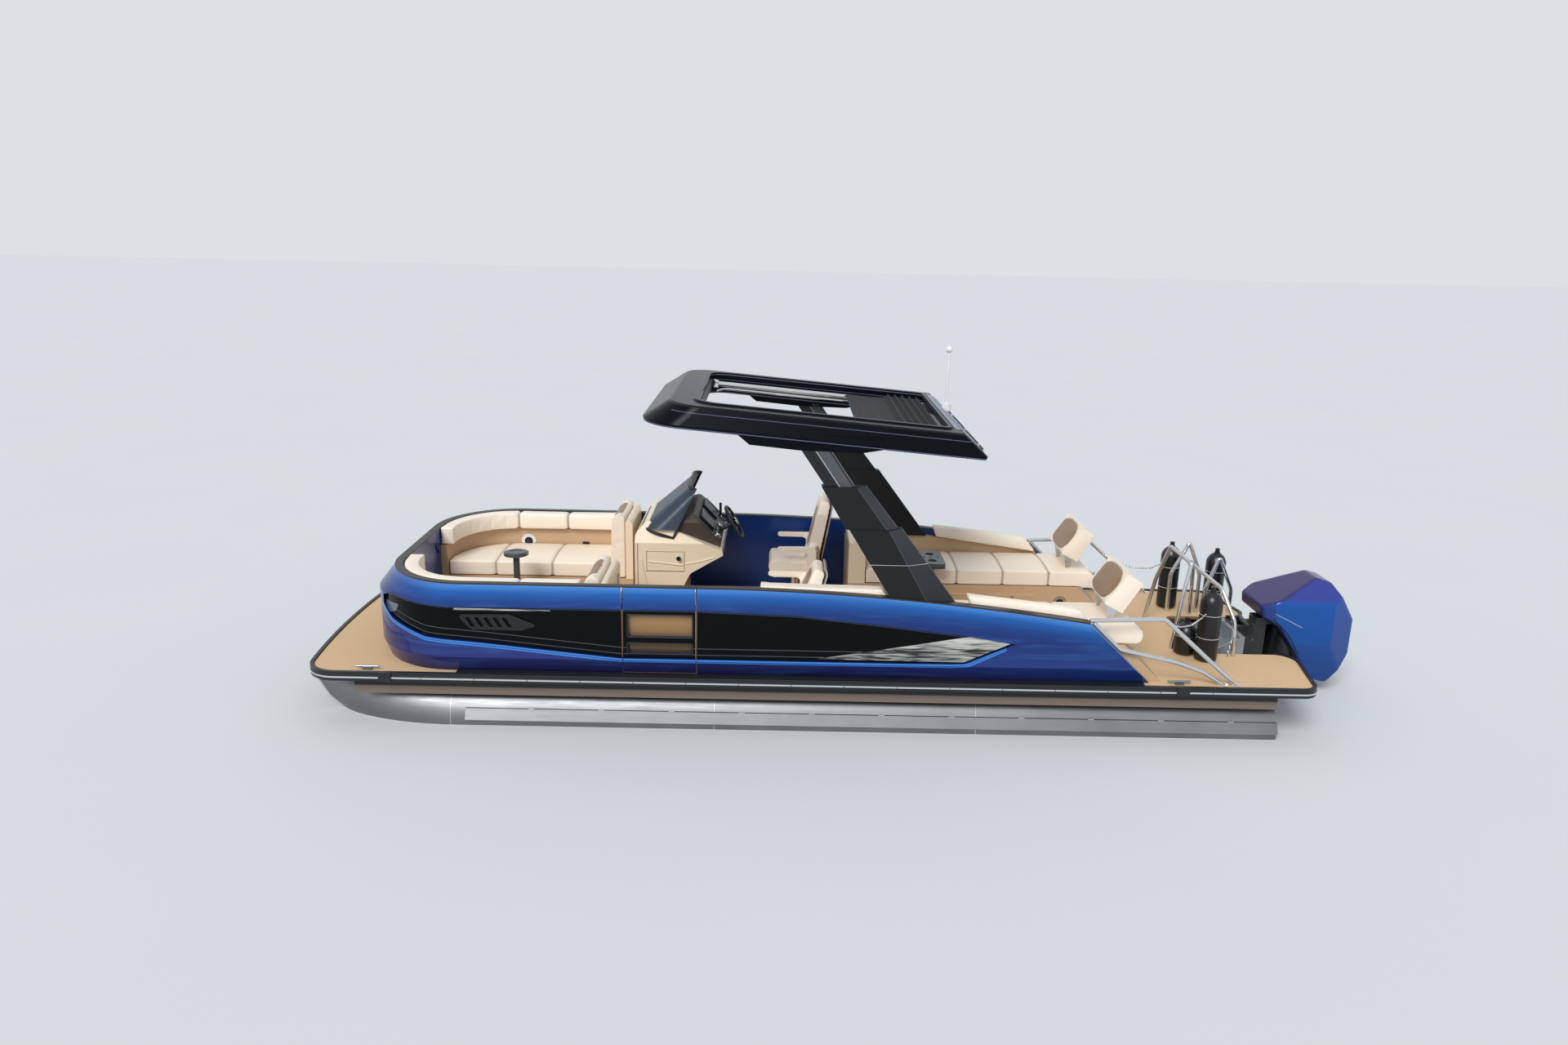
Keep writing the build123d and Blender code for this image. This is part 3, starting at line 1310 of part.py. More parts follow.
# distance aft of the steering axis, y
half_plate = [(100, 40), (250, 150), (720, 175), (740, 150)]
plate_side = [(steer_x - reach, y) for reach, y in half_plate]
plate_outline = plate_side + [(x, -y) for x, y in reversed(plate_side)]
cavitation_plate = plan_prism(plate_outline, -262, -248)
bullet_nose_x = steer_x - 120
bullet_back_x = propeller_x + hub_length / 2 + 5
bullet_edges = [
    ThreePointArc((bullet_nose_x, 0, 0), (bullet_nose_x - 70, 0, 52), (bullet_nose_x - 200, 0, 78)),
    Line((bullet_nose_x - 200, 0, 78), (bullet_back_x + 120, 0, 78)),
    Line((bullet_back_x + 120, 0, 78), (bullet_back_x, 0, 62)),
    Line((bullet_back_x, 0, 62), (bullet_back_x, 0, 0)),
    Line((bullet_back_x, 0, 0), (bullet_nose_x, 0, 0)),
]
bullet = Pos(0, 0, propeller_z) * revolve(make_face(bullet_edges), Axis.X)
skeg_points = [
    (bullet_nose_x - 150, propeller_z),
    (bullet_back_x + 60, propeller_z),
    (bullet_back_x + 20, propeller_z - 255),
    (bullet_back_x + 130, propeller_z - 265),
]
skeg = side_prism(skeg_points, -9, 9, [0, 0, 30, 60])
steering_post = post(steer_x, 0, tilt_z - 465, tilt_z + 39, steering_post_radius)
yoke_top = block(steer_x - 260, steer_x + 45, -80, 80, tilt_z + 30.3, tilt_z + 90)
yoke_low = block(steer_x - 260, steer_x + 45, -60, 60, tilt_z - 510, tilt_z - 460.3)
shaft_start = propeller_x - hub_length / 2 - 25
shaft_end = bullet_back_x + 20
shaft_middle = (shaft_start + shaft_end) / 2
shaft_length = shaft_end - shaft_start
propeller_shaft = shaft(shaft_middle, 0, propeller_z, propeller_shaft_radius, shaft_length)
leg_pieces = [leg_body, cavitation_plate, bullet, skeg, steering_post, yoke_top, yoke_low]
engine_leg = fused(leg_pieces + [propeller_shaft])
keep("engine_leg", engine_leg)

# Cowl: three extruded outlines meet in flat facets with sharp creases
# x from the steering axis, z
cowl_rows = [
    (80, 870),
    (-440, 1120),
    (-570, 1085),
    (-915, 590),
    (-770, 330),
    (-640, 105),
    (-460, 150),
    (-70, 700),
    (70, 765),
]
cowl_side = [(steer_x + dx, z) for dx, z in cowl_rows]
# x from the steering axis, y
cowl_plan_rows = [(90, 225), (-30, cowl_half_width - 5), (-560, cowl_half_width), (-925, 120)]
cowl_plan_side = [(steer_x + dx, y) for dx, y in cowl_plan_rows]
cowl_plan = cowl_plan_side + [(x, -y) for x, y in reversed(cowl_plan_side)]
cowl_front = [
    (170, 60),
    (cowl_half_width, 520),
    (cowl_half_width, 925),
    (130, 1125),
    (-130, 1125),
    (-cowl_half_width, 925),
    (-cowl_half_width, 520),
    (-170, 60),
]
cowl = side_prism(cowl_side, -far, far, [20, 30, 30, 40, 20, 30, 60, 40, 20])
cowl = cowl & plan_prism(cowl_plan, -far, far, 25) & front_prism(cowl_front, -far, far, 25)
slot_rows = [(-600, 1010), (-580, 1028), (-715, 838), (-735, 852)]
cowl_slot = side_prism([(steer_x + dx, z) for dx, z in slot_rows], 60, 215)
keep("engine_cowl", cowl - engine_leg - fused(both_sides(cowl_slot)))

# Propeller: blades lofted through lens sections that turn with the pitch
hub = shaft(propeller_x, 0, propeller_z, hub_radius, hub_length)


def blade_section(radius, chord, thickness):
    """Lens section of a blade at a radius, set to the pitch."""
    angle = math.degrees(math.atan(propeller_pitch / (2 * math.pi * radius)))
    half = chord / 2
    upper_arc = ThreePointArc((-half, 0, 0), (0, thickness / 2, 0), (half, 0, 0))
    lower_arc = ThreePointArc((half, 0, 0), (0, -thickness / 2, 0), (-half, 0, 0))
    return Pos(0, 0, radius) * Rot(0, 0, 90 - angle) * make_face([upper_arc, lower_arc])


# radius, chord, thickness
blade_rows = [(hub_radius - 15, 105, 16), (110, 150, 11), (160, 150, 8), (196, 80, 5)]
blade_faces = [blade_section(*row) for row in blade_rows]
blade = fused([loft(blade_faces[index : index + 2], ruled=True) for index in range(3)])
propeller = hub
for index in range(blade_count):
    turn = Rot(index * 360 / blade_count, 0, 0)
    propeller = propeller + Pos(propeller_x, 0, propeller_z) * turn * blade
hub_bore = shaft(propeller_x, 0, propeller_z, propeller_shaft_radius + running_gap, 2 * hub_length)
keep("propeller", propeller - hub_bore)

os.makedirs("parts", exist_ok=True)
for name, shape in nodes.items():
    export_step(shape, f"parts/{name}.step")
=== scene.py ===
import bpy
import bmesh
import math
from mathutils import Matrix, Vector


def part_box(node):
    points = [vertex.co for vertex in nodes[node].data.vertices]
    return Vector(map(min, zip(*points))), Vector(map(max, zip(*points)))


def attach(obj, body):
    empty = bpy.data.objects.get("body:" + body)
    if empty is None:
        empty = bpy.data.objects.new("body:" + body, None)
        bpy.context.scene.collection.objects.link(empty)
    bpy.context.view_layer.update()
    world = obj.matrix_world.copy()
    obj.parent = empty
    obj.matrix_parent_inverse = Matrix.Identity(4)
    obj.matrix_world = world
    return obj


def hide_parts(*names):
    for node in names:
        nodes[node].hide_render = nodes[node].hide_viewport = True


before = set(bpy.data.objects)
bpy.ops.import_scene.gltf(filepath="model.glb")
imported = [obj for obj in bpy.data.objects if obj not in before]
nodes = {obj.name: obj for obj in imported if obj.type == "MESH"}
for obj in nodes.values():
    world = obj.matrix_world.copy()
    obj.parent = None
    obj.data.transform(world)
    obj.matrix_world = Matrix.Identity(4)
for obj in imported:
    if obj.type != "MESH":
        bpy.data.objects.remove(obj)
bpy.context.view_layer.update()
print("frame loaded:", len(nodes), "nodes")


def linear(hexColour, alpha=1.0):
    channels = [int(hexColour[i:i + 2], 16) / 255 for i in (1, 3, 5)]
    return [c / 12.92 if c <= 0.04045 else ((c + 0.055) / 1.055) ** 2.4 for c in channels] + [alpha]


def addNode(tree, kind, values=(), links=(), **settings):
    node = tree.nodes.new(kind)
    for key, value in settings.items():
        setattr(node, key, value)
    for key, value in dict(values).items():
        node.inputs[key].default_value = value
    for key, source in dict(links).items():
        tree.links.new(source, node.inputs[key])
    return node


def newMaterial(name, colour, roughness, metallic=0.0, **sockets):
    material = bpy.data.materials.new(name)
    material.use_nodes = True
    tree = material.node_tree
    shader = tree.nodes["Principled BSDF"]
    shader.inputs["Base Color"].default_value = linear(colour)
    shader.inputs["Roughness"].default_value = roughness
    shader.inputs["Metallic"].default_value = metallic
    for key, value in sockets.items():
        shader.inputs[key.replace("_", " ")].default_value = value
    return material, tree, shader


# a ramp's colours, each as its place and hex value
def setStops(ramp, stops):
    elements = ramp.color_ramp.elements
    for element, (at, colour) in zip((elements[0], elements[1]), (stops[0], stops[-1])):
        element.position = at
        element.color = linear(colour)
    for at, colour in stops[1:-1]:
        elements.new(at).color = linear(colour)


# white between each pair of places on a ramp, black elsewhere
def setMask(ramp, pairs):
    ramp.color_ramp.interpolation = "CONSTANT"
    for element in ramp.color_ramp.elements:
        element.color = (0, 0, 0, 1)
    for start, end in pairs:
        ramp.color_ramp.elements.new(start).color = (1, 1, 1, 1)
        ramp.color_ramp.elements.new(end).color = (0, 0, 0, 1)


def paintNode(name, material):
    node = nodes[name]
    node.data.materials.clear()
    node.data.materials.append(material)


# pale matt floor with a wide soft sun; the camera and the reflections see a pale backdrop
studioSet = {"floor": "#D3D7DA", "floorSize": 200, "backdrop": "#DCE1E5", "sky": "#EDF1F6", "skyStrength": 0.68,
             "sun": 2.25, "sunFrom": (3, 7.2, 6.8), "sunSoftness": 26}
bpy.ops.mesh.primitive_plane_add(size=studioSet["floorSize"], location=(0, 0, 0))
floor = bpy.context.object
floor.name = "floor"
floorMaterial, tree, shader = newMaterial("matt pale floor", studioSet["floor"], 0.8, Specular_IOR_Level=0.1)
coords = addNode(tree, "ShaderNodeTexCoord")
mottle = addNode(tree, "ShaderNodeTexNoise", {"Scale": 0.4, "Detail": 2}, {"Vector": coords.outputs["Object"]})
tint = addNode(tree, "ShaderNodeMix", {6: linear("#D1D5D8"), 7: linear("#D4D8DA")}, {0: mottle.outputs["Fac"]},
               data_type="RGBA")
tree.links.new(tint.outputs[2], shader.inputs["Base Color"])
floor.data.materials.append(floorMaterial)

world = bpy.data.worlds.new("studio")
bpy.context.scene.world = world
world.use_nodes = True
tree = world.node_tree
light = tree.nodes["Background"]
light.inputs["Color"].default_value = linear(studioSet["sky"])
light.inputs["Strength"].default_value = studioSet["skyStrength"]
backdrop = addNode(tree, "ShaderNodeBackground", {"Color": linear(studioSet["backdrop"]), "Strength": 1.0})
rays = addNode(tree, "ShaderNodeLightPath")
seen = addNode(tree, "ShaderNodeMath", links={0: rays.outputs["Is Camera Ray"], 1: rays.outputs["Is Glossy Ray"]},
               operation="MAXIMUM")
seenAll = addNode(tree, "ShaderNodeMath", links={0: seen.outputs[0], 1: rays.outputs["Is Transmission Ray"]},
                  operation="MAXIMUM")
both = addNode(tree, "ShaderNodeMixShader", links={0: seenAll.outputs[0], 1: light.outputs[0], 2: backdrop.outputs[0]})
tree.links.new(both.outputs[0], tree.nodes["World Output"].inputs["Surface"])

bpy.ops.object.light_add(type="SUN", location=studioSet["sunFrom"])
sun = bpy.context.object
sun.name = "softSun"
sun.data.energy = studioSet["sun"]
sun.data.angle = math.radians(studioSet["sunSoftness"])
sun.rotation_euler = Vector(studioSet["sunFrom"]).to_track_quat("Z", "Y").to_euler()

# camera at the photograph's place: level heading, then pitched down and rolled a little
camSet = {"place": (0.3643, 9.9343, 4.1572), "yaw": -0.0062, "pitch": 0.2600, "roll": 0.02144, "lens": 25.5555}
bpy.ops.object.camera_add(location=camSet["place"])
cam = bpy.context.object
cam.name = "photoCamera"
cam.data.lens = camSet["lens"]
cam.data.sensor_width = 36
cam.data.sensor_fit = "HORIZONTAL"
cam.data.clip_end = 400
ahead = Vector((math.sin(camSet["yaw"]) * math.cos(camSet["pitch"]),
                -math.cos(camSet["yaw"]) * math.cos(camSet["pitch"]), -math.sin(camSet["pitch"])))
right = ahead.cross(Vector((0, 0, 1))).normalized()
up = right.cross(ahead)
rolledRight = right * math.cos(camSet["roll"]) + up * math.sin(camSet["roll"])
rolledUp = up * math.cos(camSet["roll"]) - right * math.sin(camSet["roll"])
cam.rotation_euler = Matrix((rolledRight, rolledUp, -ahead)).transposed().to_euler()
bpy.context.scene.camera = cam
bpy.context.scene.view_settings.view_transform = "Standard"
print("stage, lamps and camera set")

# automotive paint with colour-shift flake under clear coat: blue on the sides, violet on faces that look up or aft,
# partly the paint's own colour shift and partly painted light by facing; painted shade makes it deeper low down
cowlSet = {"turned": "#27225F", "between": "#343E8C", "side": "#0F52A4", "lowest": 0.1, "highest": 1.1}
cowlPaint, tree, shader = newMaterial("colour-shift cowl paint", cowlSet["between"], 0.3, 0.5, Specular_IOR_Level=0.25,
                                      Coat_Weight=0.4, Coat_Roughness=0.04)
coords = addNode(tree, "ShaderNodeTexCoord")
# colour by which way a face looks: partly the paint's own colour shift, partly painted light
split = addNode(tree, "ShaderNodeSeparateXYZ", links={"Vector": coords.outputs["Normal"]})
sideways = addNode(tree, "ShaderNodeMath", links={0: split.outputs["Y"]}, operation="ABSOLUTE")
ramp = addNode(tree, "ShaderNodeValToRGB", links={"Fac": sideways.outputs[0]})
setStops(ramp, [(0.1, cowlSet["turned"]), (0.7, cowlSet["between"]), (1.0, cowlSet["side"])])
place = addNode(tree, "ShaderNodeSeparateXYZ", links={"Vector": coords.outputs["Object"]})
# darker low down, brighter high up: painted shade and light by height
level = addNode(tree, "ShaderNodeMapRange",
                {"From Min": cowlSet["lowest"], "From Max": cowlSet["highest"], "To Min": 0.7, "To Max": 1.15},
                {"Value": place.outputs["Z"]})
flake = addNode(tree, "ShaderNodeTexVoronoi", {"Scale": 900}, {"Vector": coords.outputs["Object"]})
glint = addNode(tree, "ShaderNodeMapRange", {"To Min": 0.92, "To Max": 1.1}, {"Value": flake.outputs["Distance"]})
value = addNode(tree, "ShaderNodeMath", links={0: level.outputs["Result"], 1: glint.outputs["Result"]},
                operation="MULTIPLY")
sparkle = addNode(tree, "ShaderNodeHueSaturation", links={"Color": ramp.outputs["Color"], "Value": value.outputs[0]})
tree.links.new(sparkle.outputs["Color"], shader.inputs["Base Color"])


# height above the lower edge of the black band, in metres, found from x by a drawn curve
bandLow = [(-1.58, 0.83), (-1.25, 0.668), (-1.12, 0.658), (-0.74, 0.655), (1.64, 0.655), (2.18, 0.708), (2.73, 0.764),
           (3.27, 0.809), (3.6, 0.905), (3.8, 1.05)]
bandHigh = [(-1.637, 0.844), (-1.2, 0.912), (-0.54, 0.987), (0.19, 1.057), (1.02, 1.084), (3.07, 1.08), (3.59, 1.12),
            (3.8, 1.05)]


def aboveEdge(tree, place, edge):
    xLow, xHigh = edge[0][0], edge[-1][0]
    along = addNode(tree, "ShaderNodeMapRange", {"From Min": xLow, "From Max": xHigh}, {"Value": place.outputs["X"]})
    drawn = addNode(tree, "ShaderNodeFloatCurve", links={"Value": along.outputs["Result"]})
    curve = drawn.mapping.curves[0]
    spots = [((x - xLow) / (xHigh - xLow), z - 0.5) for x, z in edge]
    curve.points[0].location = spots[0]
    curve.points[1].location = spots[-1]
    for spot in spots[1:-1]:
        curve.points.new(*spot)
    for point in curve.points:
        point.handle_type = "VECTOR"
    drawn.mapping.update()
    lifted = addNode(tree, "ShaderNodeMath", {1: 0.5}, {0: place.outputs["Z"]}, operation="SUBTRACT")
    return addNode(tree, "ShaderNodeMath", links={0: lifted.outputs[0], 1: drawn.outputs["Value"]},
                   operation="SUBTRACT")


# 1 between each pair of heights, 0 elsewhere
def lineMask(tree, height, low, high, pairs):
    share = addNode(tree, "ShaderNodeMapRange", {"From Min": low, "From Max": high}, {"Value": height.outputs[0]})
    ramp = addNode(tree, "ShaderNodeValToRGB", links={"Fac": share.outputs["Result"]})
    setMask(ramp, [((start - low) / (high - low), (end - low) / (high - low)) for start, end in pairs])
    return ramp


# metallic automotive paint on aluminium sheet, plain blue inside; outside it carries painted light: violet low down and
# bright blue on the up-facing flare with a painted highlight along its top edge, violet round the bow, painted
# reflection streaks, painted highlight lines
fenceSet = {"shadedAndLitLevels": [(0.0, "#26225A"), (0.17, "#292F74"), (0.36, "#22387E"), (0.72, "#123078"), (0.82, "#123F86"),
                       (0.92, "#155CAC"), (1.0, "#4A8CD8")],
            "bow": "#2A2168", "edgeHighlight": "#3F86DA", "streak": "#3568AC", "inside": "#143C86", "fall": 0.028}
fencePaint, tree, shader = newMaterial("metallic automotive paint", "#283A9A", 0.3, 0.45, Specular_IOR_Level=0.25,
                                       Coat_Weight=0.4, Coat_Roughness=0.03)
coords = addNode(tree, "ShaderNodeTexCoord")
place = addNode(tree, "ShaderNodeSeparateXYZ", links={"Vector": coords.outputs["Object"]})
facing = addNode(tree, "ShaderNodeSeparateXYZ", links={"Vector": coords.outputs["Normal"]})
behind = addNode(tree, "ShaderNodeMath", {0: 0.7}, {1: place.outputs["X"]}, operation="SUBTRACT")
behindOnly = addNode(tree, "ShaderNodeMath", {1: 0.0}, {0: behind.outputs[0]}, operation="MAXIMUM")
squared = addNode(tree, "ShaderNodeMath", links={0: behindOnly.outputs[0], 1: behindOnly.outputs[0]},
                  operation="MULTIPLY")
lifted = addNode(tree, "ShaderNodeMath", {1: fenceSet["fall"]}, {0: squared.outputs[0], 2: place.outputs["Z"]},
                 operation="MULTIPLY_ADD")
# colour by height: violet low, bright blue up the flare, partly the paint's own colour shift and partly painted shade
# below and painted light above; the top stop is a painted highlight along the flare's edge
level = addNode(tree, "ShaderNodeMapRange", {"From Min": 0.5, "From Max": 1.267}, {"Value": lifted.outputs[0]})
ramp = addNode(tree, "ShaderNodeValToRGB", links={"Fac": level.outputs["Result"]})
setStops(ramp, fenceSet["shadedAndLitLevels"])
# faces turned forward round the bow mixed to violet: partly the paint's own colour shift, partly painted light by
# facing
turned = addNode(tree, "ShaderNodeMapRange", {"From Min": 0.1, "From Max": 0.9, "To Max": 0.75},
                 {"Value": facing.outputs["X"]})
roundBow = addNode(tree, "ShaderNodeMix", {7: linear(fenceSet["bow"])},
                   {0: turned.outputs["Result"], 6: ramp.outputs["Color"]}, data_type="RGBA")
# soft lighter streaks stretched up the sheet: painted reflections
stretch = addNode(tree, "ShaderNodeMapping", {"Scale": (0.7, 0.7, 7)}, {"Vector": coords.outputs["Object"]})
streak = addNode(tree, "ShaderNodeTexNoise", {"Scale": 2.2, "Detail": 3, "Distortion": 0.6},
                 {"Vector": stretch.outputs["Vector"]})
reflectionStreakShare = addNode(tree, "ShaderNodeMapRange", {"From Min": 0.52, "From Max": 0.75, "To Max": 0.4},
                      {"Value": streak.outputs["Fac"]})
reflectionStreaked = addNode(tree, "ShaderNodeMix", {7: linear(fenceSet["streak"])},
                   {0: reflectionStreakShare.outputs["Result"], 6: roundBow.outputs[2]}, data_type="RGBA")
# two light blue lines just under the band's lower edge, ending at the insert, outside faces only: painted highlights
# along the crease
height = aboveEdge(tree, place, bandLow)
edgeHighlightLines = lineMask(tree, height, -0.05, 0.01, [(-0.034, -0.021), (-0.016, -0.002)])
fromMiddle = addNode(tree, "ShaderNodeVectorMath", {1: (3.0, 0, 0)}, {0: coords.outputs["Object"]},
                     operation="SUBTRACT")
aheadOnly = addNode(tree, "ShaderNodeVectorMath", {1: (0, -9, 9)}, {0: fromMiddle.outputs[0]}, operation="MAXIMUM")
levelOnly = addNode(tree, "ShaderNodeVectorMath", {1: (1, 1, 0)}, {0: aheadOnly.outputs[0]}, operation="MULTIPLY")
outward = addNode(tree, "ShaderNodeVectorMath", links={0: levelOnly.outputs[0], 1: coords.outputs["Normal"]},
                  operation="DOT_PRODUCT")
outside = addNode(tree, "ShaderNodeMath", {1: 0.3}, {0: outward.outputs["Value"]}, operation="GREATER_THAN")
ofInsert = addNode(tree, "ShaderNodeMath", {1: -1.56}, {0: place.outputs["X"]}, operation="GREATER_THAN")
edgeHighlightAhead = addNode(tree, "ShaderNodeMath", links={0: ofInsert.outputs[0], 1: edgeHighlightLines.outputs["Color"]},
                   operation="MULTIPLY")
painted = addNode(tree, "ShaderNodeMath", links={0: outside.outputs[0], 1: edgeHighlightAhead.outputs[0]}, operation="MULTIPLY")
inner = addNode(tree, "ShaderNodeMix", {6: linear(fenceSet["inside"])},
                {0: outside.outputs[0], 7: reflectionStreaked.outputs[2]}, data_type="RGBA")
edgeHighlighted = addNode(tree, "ShaderNodeMix", {7: linear(fenceSet["edgeHighlight"])}, {0: painted.outputs[0], 6: inner.outputs[2]},
                  data_type="RGBA")
flake = addNode(tree, "ShaderNodeTexVoronoi", {"Scale": 700}, {"Vector": coords.outputs["Object"]})
glint = addNode(tree, "ShaderNodeMapRange", {"To Min": 0.9, "To Max": 1.12}, {"Value": flake.outputs["Distance"]})
sparkle = addNode(tree, "ShaderNodeHueSaturation",
                  links={"Color": edgeHighlighted.outputs[2], "Value": glint.outputs["Result"]})
tree.links.new(sparkle.outputs["Color"], shader.inputs["Base Color"])

# black acrylic panel on the fence: near black with a faint ripple; the grey lines along its two moulded ledges and near
# its upper edge are painted highlights
bandGloss, tree, shader = newMaterial("polished black acrylic", "#030405", 0.12, Specular_IOR_Level=0.12)
coords = addNode(tree, "ShaderNodeTexCoord")
place = addNode(tree, "ShaderNodeSeparateXYZ", links={"Vector": coords.outputs["Object"]})
# grey lines along the ledges and the upper edge: painted highlights
ledgeHighlights = lineMask(tree, aboveEdge(tree, place, bandLow), 0.0, 0.14, [(0.03, 0.036), (0.085, 0.091)])
rim = lineMask(tree, aboveEdge(tree, place, bandHigh), -0.04, 0.01, [(-0.02, -0.013)])
lines = addNode(tree, "ShaderNodeMath", links={0: ledgeHighlights.outputs["Color"], 1: rim.outputs["Color"]},
                operation="MAXIMUM")
tone = addNode(tree, "ShaderNodeMix", {6: linear("#030405"), 7: linear("#4A5058")}, {0: lines.outputs[0]},
               data_type="RGBA")
tree.links.new(tone.outputs[2], shader.inputs["Base Color"])
ripple = addNode(tree, "ShaderNodeTexNoise", {"Scale": 5, "Detail": 1}, {"Vector": coords.outputs["Object"]})
bump = addNode(tree, "ShaderNodeBump", {"Strength": 0.03, "Distance": 0.01}, {"Height": ripple.outputs["Fac"]})
tree.links.new(bump.outputs["Normal"], shader.inputs["Normal"])

# roof moulding: navy black gelcoat, a little cloudy, with pale painted highlight lines along its lip and side face
roofGloss, tree, shader = newMaterial("navy black gelcoat", "#0E1118", 0.24, Specular_IOR_Level=0.08)
coords = addNode(tree, "ShaderNodeTexCoord")
ripple = addNode(tree, "ShaderNodeTexNoise", {"Scale": 2.5, "Detail": 2}, {"Vector": coords.outputs["Object"]})
tone = addNode(tree, "ShaderNodeMix", {6: linear("#05060B"), 7: linear("#0B0D16")}, {0: ripple.outputs["Fac"]},
               data_type="RGBA")
aboveLip = addNode(tree, "ShaderNodeVectorMath", {1: (0, 0, 2.49)}, {0: coords.outputs["Object"]}, operation="SUBTRACT")
raised = addNode(tree, "ShaderNodeVectorMath", {1: (-0.08368, 0, 0.99649)}, {0: aboveLip.outputs[0]},
                 operation="DOT_PRODUCT")
# pale lines on faces that do not look up: painted highlights along the lip's creases
lip = addNode(tree, "ShaderNodeValToRGB", links={"Fac": raised.outputs["Value"]})
setMask(lip, ((0.003, 0.009), (0.128, 0.132), (0.172, 0.182)))
facing = addNode(tree, "ShaderNodeSeparateXYZ", links={"Vector": coords.outputs["Normal"]})
sidewards = addNode(tree, "ShaderNodeMath", {1: 0.75}, {0: facing.outputs["Z"]}, operation="LESS_THAN")
drawn = addNode(tree, "ShaderNodeMath", links={0: sidewards.outputs[0], 1: lip.outputs["Color"]}, operation="MULTIPLY")
lipHighlighted = addNode(tree, "ShaderNodeMix", {7: linear("#5D6675")}, {0: drawn.outputs[0], 6: tone.outputs[2]},
                data_type="RGBA")
tree.links.new(lipHighlighted.outputs[2], shader.inputs["Base Color"])

# powder-coated aluminium: charcoal with a fine orange-peel grain of about 2 mm, drawn at 4 mm
charcoal, tree, shader = newMaterial("charcoal powder coat", "#26282B", 0.48, Specular_IOR_Level=0.25)
coords = addNode(tree, "ShaderNodeTexCoord")
peel = addNode(tree, "ShaderNodeTexNoise", {"Scale": 250, "Detail": 2}, {"Vector": coords.outputs["Object"]})
bump = addNode(tree, "ShaderNodeBump", {"Strength": 0.12, "Distance": 0.001}, {"Height": peel.outputs["Fac"]})
tree.links.new(bump.outputs["Normal"], shader.inputs["Normal"])
# faces turned aft are painted lighter and the rest darker: painted light
split = addNode(tree, "ShaderNodeSeparateXYZ", links={"Vector": coords.outputs["Normal"]})
aftFaceLit = addNode(tree, "ShaderNodeMapRange", {"From Min": -0.6, "From Max": -0.12, "To Min": 1.0, "To Max": 0.0},
                    {"Value": split.outputs["X"]})
tone = addNode(tree, "ShaderNodeMix", {6: linear("#17181A"), 7: linear("#3A3D41")}, {0: aftFaceLit.outputs["Result"]},
               data_type="RGBA")
tree.links.new(tone.outputs[2], shader.inputs["Base Color"])

# leg paint: gloss black ahead, a bright line, satin grey aft, drawn across the leg's lean of 34.5 degrees
legSet = {"middle": (-0.136, 0, 2.14), "across": (0.8241, 0, -0.5664)}
legPaint, tree, shader = newMaterial("banded leg paint", "#1A1C1F", 0.3)
coords = addNode(tree, "ShaderNodeTexCoord")
fromLeg = addNode(tree, "ShaderNodeVectorMath", {1: legSet["middle"]}, {0: coords.outputs["Object"]},
                  operation="SUBTRACT")
across = addNode(tree, "ShaderNodeVectorMath", {1: legSet["across"]}, {0: fromLeg.outputs[0]}, operation="DOT_PRODUCT")
share = addNode(tree, "ShaderNodeMapRange", {"From Min": -0.1, "From Max": 0.1}, {"Value": across.outputs["Value"]})
ramp = addNode(tree, "ShaderNodeValToRGB", links={"Fac": share.outputs["Result"]})
ramp.color_ramp.interpolation = "CONSTANT"
setStops(ramp, [(0.0, "#17181A"), (0.08, "#4A4D51"), (0.5, "#A9AEB5"), (0.53, "#26282B"), (0.56, "#08090A")])
tree.links.new(ramp.outputs["Color"], shader.inputs["Base Color"])


# rolled marine aluminium: soft streaks along the sheet and small dull patches
def sheetAluminium(name, colour, dull, roughness, streak):
    material, tree, shader = newMaterial(name, colour, roughness, 1.0)
    coords = addNode(tree, "ShaderNodeTexCoord")
    stretch = addNode(tree, "ShaderNodeMapping", {"Scale": (0.6, 14, 14)}, {"Vector": coords.outputs["Object"]})
    grain = addNode(tree, "ShaderNodeTexNoise", {"Scale": streak, "Detail": 4}, {"Vector": stretch.outputs["Vector"]})
    patches = addNode(tree, "ShaderNodeTexNoise", {"Scale": 3.0, "Detail": 5}, {"Vector": coords.outputs["Object"]})
    tone = addNode(tree, "ShaderNodeMix", {6: linear(dull), 7: linear(colour)}, {0: patches.outputs["Fac"]},
                   data_type="RGBA")
    tree.links.new(tone.outputs[2], shader.inputs["Base Color"])
    rough = addNode(tree, "ShaderNodeMapRange", {"To Min": roughness - 0.1, "To Max": roughness + 0.14},
                    {"Value": grain.outputs["Fac"]})
    tree.links.new(rough.outputs["Result"], shader.inputs["Roughness"])
    bump = addNode(tree, "ShaderNodeBump", {"Strength": 0.08, "Distance": 0.002}, {"Height": grain.outputs["Fac"]})
    tree.links.new(bump.outputs["Normal"], shader.inputs["Normal"])
    return material


tubeAluminium = sheetAluminium("rolled marine aluminium", "#919294", "#797A7C", 0.44, 6)
frameAluminium = sheetAluminium("mill finish extrusion", "#C8CBCE", "#A6AAAE", 0.42, 12)

# polished metals: mirror bright, with a slightly smeared shine
def polishedMetal(name, colour, roughness, scale, detail, low, high):
    material, tree, shader = newMaterial(name, colour, roughness, 1.0)
    coords = addNode(tree, "ShaderNodeTexCoord")
    smear = addNode(tree, "ShaderNodeTexNoise", {"Scale": scale, "Detail": detail},
                    {"Vector": coords.outputs["Object"]})
    rough = addNode(tree, "ShaderNodeMapRange", {"To Min": low, "To Max": high}, {"Value": smear.outputs["Fac"]})
    tree.links.new(rough.outputs["Result"], shader.inputs["Roughness"])
    return material


# electropolished stainless tube
stainless = polishedMetal("polished stainless", "#DADCDF", 0.12, 40, 3, 0.07, 0.2)

# satin stainless casting, duller than the tube
castStainless = sheetAluminium("satin cast stainless", "#A7AAAE", "#8B8F94", 0.34, 30)

